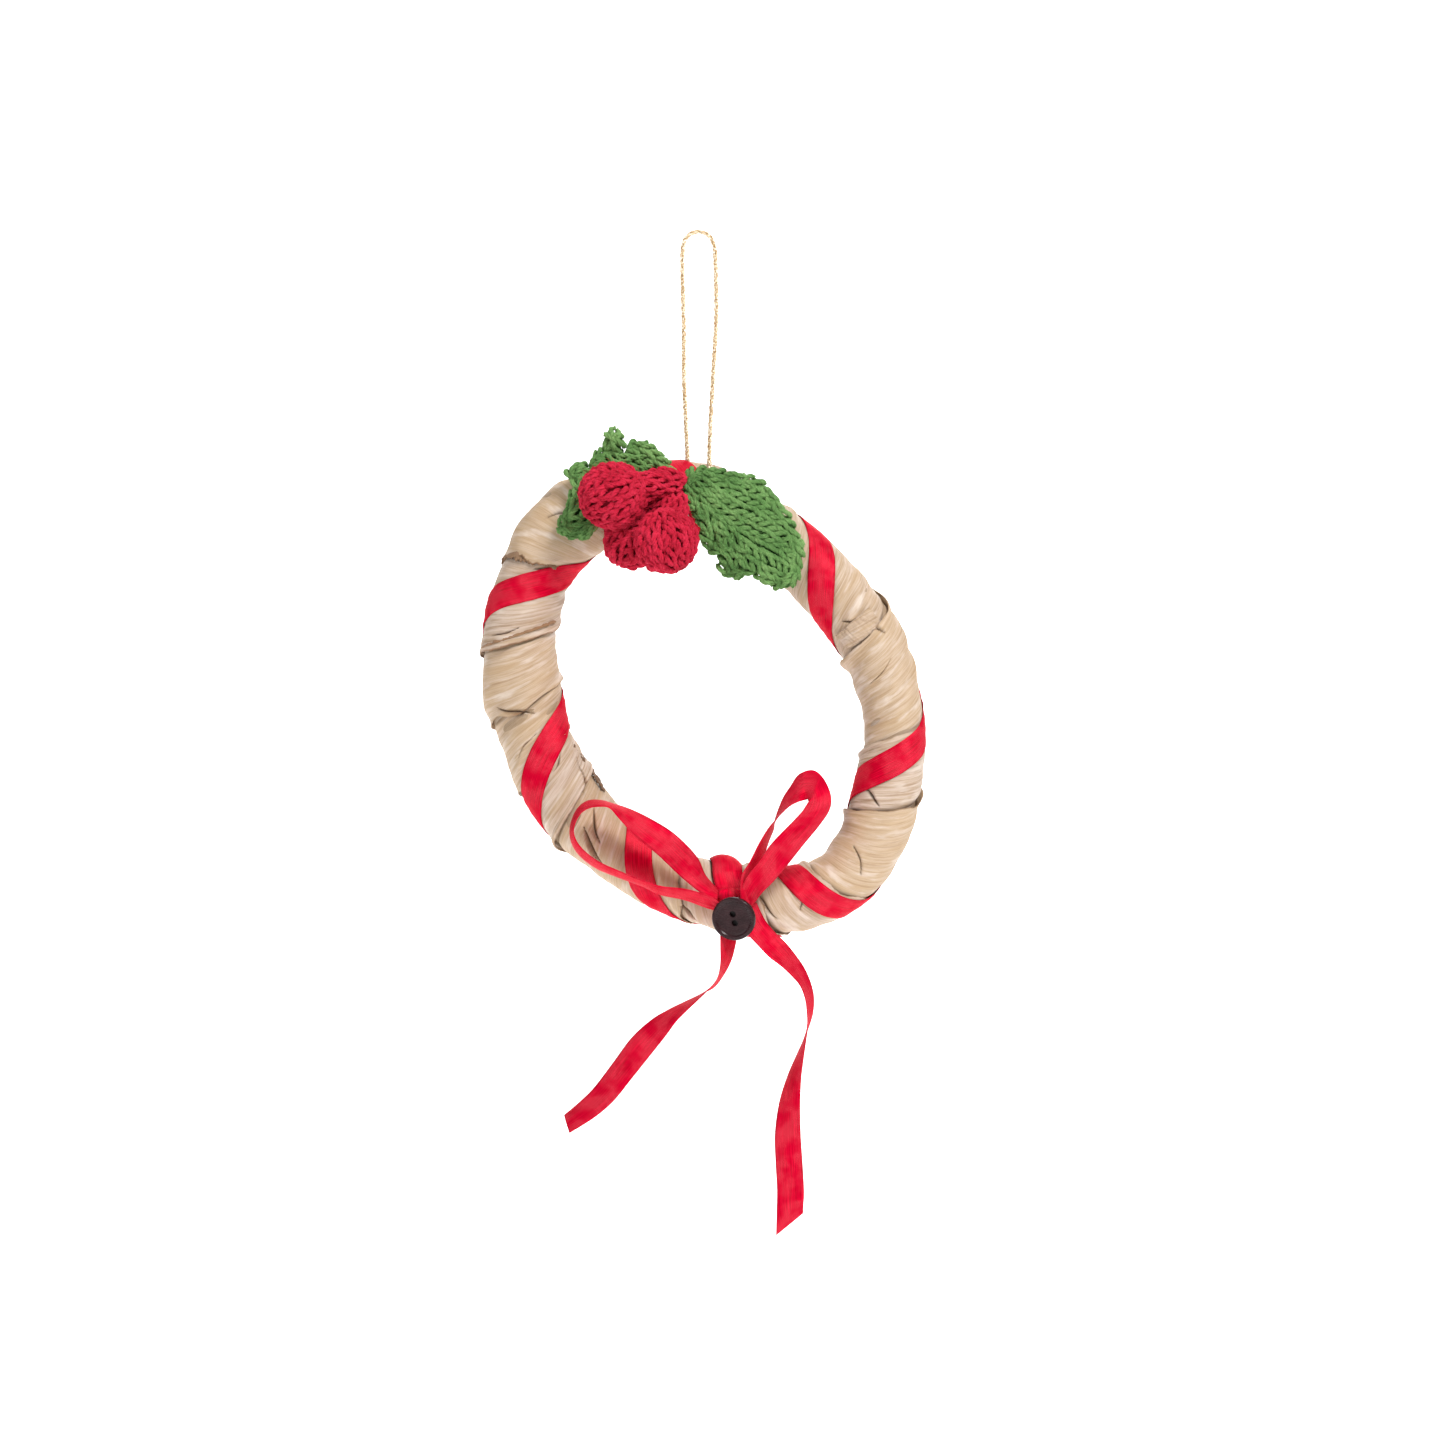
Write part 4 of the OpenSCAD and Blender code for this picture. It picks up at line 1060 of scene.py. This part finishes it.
def ball(centre, radius):
    """A plain ball, for the cloth inside the stitches."""
    rows, cols = 24, 40
    polar, turn = np.meshgrid(np.linspace(0.02, math.pi - 0.02, rows), np.arange(cols) * 2 * math.pi / cols,
                              indexing="ij")
    out = np.stack([np.sin(polar) * np.cos(turn), np.sin(polar) * np.sin(turn), np.cos(polar)], -1)
    return centre + radius * out, [(4, grid_faces(rows, cols, closed=True))]


berries = {"upper": ((-19.1, -17.9, -59.9), 7.4, (-0.85, 0.1, -0.5), 11),
           "lower": ((-7.0, -20.5, -70.3), 7.0, (0.35, 0.1, -0.93), 12),
           "rear": ((-14.9, -9.7, -69.9), 6.1, (-0.5, 0.25, -0.83), 13)}
for which, (centre, radius, pole, seed) in berries.items():
    centre, pole = np.array(centre), unit(np.array(pole))
    cover = stitches(*ball_cells(centre, radius - 0.75, pole, seed), seed, thick=1.2)
    berry = yarn_piece(f"crochet_berry_{which}", [cover, ball(centre, radius - 1.05)], (red_yarn, red_cloth_painted_shade),
                       f"berry_{which}")


# ---------------------------------------------------------------- Berry necks
# Each berry's red crochet runs on as a short thick neck to where the leaves meet, closed at its end
# and glued there.
necks = {"upper": (-6.6, -14.0, -56.8, 2.9), "lower": (-5.0, -15.0, -61.9, 2.5),
         "rear": (-9.0, -13.4, -62.0, 2.2)}


def neck(start, end, radius, seed):
    """Stitches round a tapering tube with a closed end."""
    axis = unit(end - start)
    length = np.linalg.norm(end - start)
    a, b = axes_round(axis)
    rows = max(3, int(round(length / 1.7)))
    cells = []
    for k in range(rows + 2):
        along = (k + 0.3) * length / rows
        narrow = radius * math.sqrt(max(0.06, 1 - max(0.0, (along - length + 0.8) / 2.4) ** 2))
        count = max(4, int(round(2 * math.pi * narrow / 2.5)))
        turn = 2 * math.pi * (np.arange(count) + 0.5 * k) / count
        around = np.cos(turn)[:, None] * a + np.sin(turn)[:, None] * b
        side = -np.sin(turn)[:, None] * a + np.cos(turn)[:, None] * b
        cells.append((start + along * axis + narrow * around, side, np.broadcast_to(axis, side.shape), around,
                      np.full(count, 2 * math.pi * narrow / count), np.full(count, 2.1)))
    cells = [np.concatenate(column) for column in zip(*cells)]
    inside = np.linspace(start, end, 8)[None]
    cloth = tubes(inside, radius * 0.8, np.array([0.1, 0.2, 0.97]), sides=20)
    return stitches(*cells, seed, thick=1.1), cloth


for which, (x, y, z, radius) in necks.items():
    centre, ball_radius, _, seed = berries[which]
    start, end = np.array(centre), np.array([x, y, z])
    start = start + (ball_radius - 1.2) * unit(end - start)
    cover, inside = neck(start, end, radius - 0.3, seed + 20)
    yarn_piece(f"berry_neck_{which}", [cover, inside], (red_yarn, red_cloth_painted_shade),
               f"berry_stem_{which}")


# ---------------------------------------------------------------- Leaves
# Two green crochet leaves: rows of stitches beside a midrib, and a round of stitches along the
# scalloped edge. They curve over the ring's front and are glued to it.
leaf_left_outline = [
    (-19.3, -44.9), (-17.6, -45.6), (-16.8, -48.0), (-14.2, -47.1), (-10.6, -48.2), (-7.9, -50.9),
    (-5.2, -53.8), (-3.9, -57.0), (-7.0, -60.6), (-13.0, -62.0), (-20.0, -64.2), (-24.4, -68.8),
    (-28.6, -69.2), (-31.0, -66.2), (-29.2, -61.4), (-28.4, -57.4), (-29.6, -54.6), (-26.6, -52.2),
    (-24.6, -51.8), (-22.2, -48.6)]
leaf_right_outline = [
    (-3.0, -54.8), (-1.2, -53.6), (2.4, -53.3), (6.0, -53.9), (10.0, -54.6), (13.0, -55.8),
    (16.2, -58.0), (19.2, -62.0), (21.9, -66.8), (23.6, -71.5), (23.4, -76.0), (22.0, -79.0),
    (18.8, -80.6), (15.4, -79.6), (11.6, -77.6), (8.2, -78.4), (5.4, -76.8), (5.0, -74.0), (1.6, -71.4),
    (0.2, -65.6), (-2.4, -61.4)]


def inside_of(points, outline):
    """Whether points (n, 2) lie inside a closed outline."""
    x, z = points[:, 0][:, None], points[:, 1][:, None]
    x0, z0 = outline[:, 0], outline[:, 1]
    x1, z1 = np.roll(x0, -1), np.roll(z0, -1)
    crosses = ((z0 > z) != (z1 > z)) & (x < (x1 - x0) * (z - z0) / np.where(z1 == z0, 1e-9, z1 - z0) + x0)
    return crosses.sum(1) % 2 == 1


def clearance(points, outline):
    """How far points (n, 2) lie from an outline given by close points."""
    return np.sqrt(((points[:, None] - outline[None]) ** 2).sum(2)).min(1)


def leaf(name, outline, base, tip, seed, flute, replaced):
    outline = np.array(outline + outline[:1])
    flat = np.column_stack([outline[:, 0], 0 * outline[:, 0], outline[:, 1]])
    edge = smooth_path(flat, 0.5)[:, [0, 2]]
    base, tip = np.array(base), np.array(tip)
    rib = unit(tip - base)
    off = np.array([-rib[1], rib[0]])

    def depth(spot):
        """The leaf's depth: it lies over the tube, dips at the midrib and flutes at its edge."""
        from_rib = (spot - base) @ off
        where = np.degrees(np.arctan2(spot[:, 0] - ring_centre[0], spot[:, 1] - ring_centre[2]))
        over = ((spot - ring_at(where)[:, [0, 2]]) * outward(where)[:, [0, 2]]).sum(1)
        drop = 0.028 * np.minimum(np.abs(over), 12) ** 2
        near = np.clip(1 - clearance(spot, edge) / 4, 0, 1)
        run = (spot - base) @ rib
        return (-9.9 + drop - 0.55 * np.clip(np.abs(from_rib) / 4, 0, 1)
                - flute * near * (0.5 + 0.5 * np.sin(run * 1.05 + from_rib * 0.5 + seed)))

    def lay(spot, up_flat):
        """Places and directions on the leaf for flat spots and flat up directions."""
        e = 0.2
        across = np.column_stack([up_flat[:, 1], -up_flat[:, 0]])

        def point(q):
            return np.column_stack([q[:, 0], depth(q), q[:, 1]])
        up = unit(point(spot + e * up_flat) - point(spot - e * up_flat))
        side = unit(point(spot + e * across) - point(spot - e * across))
        out = unit(np.cross(side, up))
        out = out * np.where(out[:, 1:2] > 0, -1, 1)
        return point(spot), side, up, out

    # The round of chain along the edge
    gone = np.concatenate([[0], np.cumsum(np.linalg.norm(np.diff(edge, axis=0), axis=1))])
    row_gap, stitch_gap = 2.35, 2.0
    count = int(round(gone[-1] / row_gap))
    at = (np.arange(count) + 0.5) * gone[-1] / count
    rim = np.column_stack([np.interp(at, gone, edge[:, k]) for k in (0, 1)])
    ahead = unit(np.column_stack([np.interp((at + 0.9) % gone[-1], gone, edge[:, k])
                                  - np.interp((at - 0.9) % gone[-1], gone, edge[:, k]) for k in (0, 1)]))
    away = np.column_stack([-ahead[:, 1], ahead[:, 0]])
    away = away * np.where(inside_of(rim + 0.4 * away, edge), -1, 1)[:, None]
    spots, ups, wide = [rim - 1.3 * away], [unit(ahead + 0.22 * away)], [np.full(count, 2.5)]
    # Braided rows beside the midrib
    for k in range(-7, 8):
        line = np.arange(-4, np.linalg.norm(tip - base) + 6, stitch_gap) + (0.5 if k % 2 else 0) * stitch_gap
        row = base + line[:, None] * rib + (k * row_gap + 0.5 * np.sin(line / 3.5 + k)[:, None]) * off
        keep = inside_of(row, edge) & (clearance(row, edge) > 2.0)
        spots.append(row[keep])
        ups.append(np.broadcast_to(rib + 0.35 * np.sign(k + 0.1) * off, row.shape)[keep])
        wide.append(np.full(keep.sum(), 2.7))
    spot, up_flat, wide = np.concatenate(spots), unit(np.concatenate(ups)), np.concatenate(wide)
    place, side, up, out = lay(spot, up_flat)
    tall = np.full(len(spot), 2.4)
    front = stitches(place, side, up, out, wide, tall, seed, thick=1.15, sides=5)
    back = stitches(place - 1.5 * out, side, up, -out, wide, tall, seed + 1, thick=1.05, sides=5, hairy=False)
    # The cloth inside
    xs, zs = np.arange(-34, 27, 0.9), np.arange(-83, -42, 0.9)
    grid = np.stack(np.meshgrid(xs, zs, indexing="ij"), -1)
    flat_grid = grid.reshape(-1, 2)
    inner = (inside_of(flat_grid, edge) & (clearance(flat_grid, edge) > 0.9)).reshape(grid.shape[:2])
    whole = inner[:-1, :-1] & inner[1:, :-1] & inner[1:, 1:] & inner[:-1, 1:]
    quads = grid_faces(len(xs), len(zs))[whole.ravel()]
    used, quads = np.unique(quads, return_inverse=True)
    quads = quads.reshape(-1, 4)
    lies, _, _, out = lay(flat_grid[used], np.broadcast_to([0.0, 1.0], (len(used), 2)))
    cloth = np.vstack([lies - 0.35 * out, lies - 1.15 * out])
    cloth_faces = [(4, np.vstack([quads, quads[:, ::-1] + len(used)]))]
    return yarn_piece(name, [front, back, (cloth, cloth_faces)], (green_yarn, green_cloth_painted_shade),
                      replaced)


leaf("crochet_leaf_left", leaf_left_outline, (-4.0, -56.5), (-27.0, -60.0), 31, 1.6, "holly_leaf_left")
leaf("crochet_leaf_right", leaf_right_outline, (-4.0, -57.0), (22.5, -75.0), 32, 0.8, "holly_leaf_right")


# ---------------------------------------------------------------- Cord round the ring
# The same gold cord: its right end passes round the ring's front under the leaf, its left end goes
# over the top, and they are tied in a knot at the back.
round_right = [tube_at(0.9 - 3.1 * math.cos(math.radians(a)), a, 0.95) for a in np.arange(14.0, 262, 12)]
round_left = [tube_at(-7.4 + (350 - a) * 0.017, a, 1.0) for a in np.arange(350.0, 280, -12)]
for side, start, round_ring in (("left", (-2.4, 0, -50.6), round_left),
                                ("right", (2.6, 0, -51.9), round_right)):
    wrapped = gold_cord(f"gold_cord_turn_{side}", smooth_path([start, *round_ring], 0.14))
    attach(wrapped, "wreath")
    if side == "right":
        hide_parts("cord_hitch")
knot_at = tube_at(1.5, 271, 1.5)
curl = np.linspace(0, 2 * math.pi, 80)
trefoil = np.stack([np.sin(curl) + 2 * np.sin(2 * curl), -0.7 * np.sin(3 * curl),
                    np.cos(curl) - 2 * np.cos(2 * curl)], -1)
tied = gold_cord("gold_cord_knot", smooth_path(knot_at + 0.52 * trefoil, 0.14))
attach(tied, "wreath")
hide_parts("cord_knot")


# ---------------------------------------------------------------- Hidden parts
# Straw, its binding thread, the stuffing and the leaves' glue: seen only through gaps, so the CAD
# shapes stay, each with its own finish.
finishes = {
    "straw_core": plain("straw", (0.38, 0.26, 0.10), (0.66, 0.52, 0.26), 500.0, (1, 1, 0.4), 0.5),
    "core_binding": plain("binding_thread", (0.45, 0.36, 0.22), (0.62, 0.54, 0.38), 1500.0, (1, 1, 1), 0.7),
    "berry_stuffing": plain("white_stuffing", (0.7, 0.69, 0.66), (0.85, 0.84, 0.82), 700.0, (1, 1, 1), 0.7),
    "holly_glue": plain("clear_glue", (0.62, 0.58, 0.46), (0.74, 0.70, 0.58), 600.0, (1, 1, 1), 0.2)}
for node, finish in finishes.items():
    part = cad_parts[node]
    for place in part.material_slots:
        place.material = finish


# ---------------------------------------------------------------- Floor and light
# A pale floor, greyer in front, runs up into a plain backdrop; both glow, the backdrop brightly so that it
# stays white behind the ornament and the front of the floor faintly. Four soft boxes light it from the front
# right, the front left, above and behind.
floor_z = low[2] - 0.06
floor_mat, make, shader = material("pale_floor", Roughness=0.9, Emission_Strength=1.06)
back_part = make.node("SeparateXYZ", None, {0: make.node("TexCoord", out=3)}, out=1).span(-0.3, 0.1)
feed(shader, Base_Color=back_part.mix((0.6, 0.6, 0.6), (0.92, 0.92, 0.92)),
     Emission_Color=back_part.mix((0.15, 0.15, 0.15), (1, 1, 1)))
sweep = [(-2.4, 0.0), (1.9, 0.0)] + [
    (1.9 + 0.5 * math.sin(k * math.pi / 24), 0.5 - 0.5 * math.cos(k * math.pi / 24))
    for k in range(1, 13)] + [(2.4, 2.4)]
grid = np.array([[(x, y, floor_z + z) for x in (-2.5, 2.5)] for y, z in sweep]) / MM
floor = add_mesh("floor", grid, [(4, grid_faces(len(sweep), 2))])
floor.data.materials.append(floor_mat)

world = bpy.data.worlds.new("world")
world.use_nodes = True
world.node_tree.nodes["Background"].inputs["Color"].default_value = (1, 1, 1, 1)
world.node_tree.nodes["Background"].inputs["Strength"].default_value = 0.25
bpy.context.scene.world = world


def soft_light(name, place, size, power):
    """A square soft box that faces the ornament's middle."""
    light = bpy.data.lights.new(name, "AREA")
    light.size = size
    light.energy = power
    lamp = bpy.data.objects.new(name, light)
    lamp.location = place
    aim = Vector(middle) - Vector(place)
    lamp.rotation_euler = aim.to_track_quat("-Z", "Y").to_euler()
    bpy.context.scene.collection.objects.link(lamp)


soft_light("key", (0.6, -1.0, 0.85), 0.36, 23)
soft_light("fill", (-0.9, -1.1, 0.1), 0.9, 6.0)
soft_light("top", (0.1, 0.1, 1.0), 0.8, 4.5)
soft_light("back", (0.3, 1.0, 0.7), 0.8, 5)
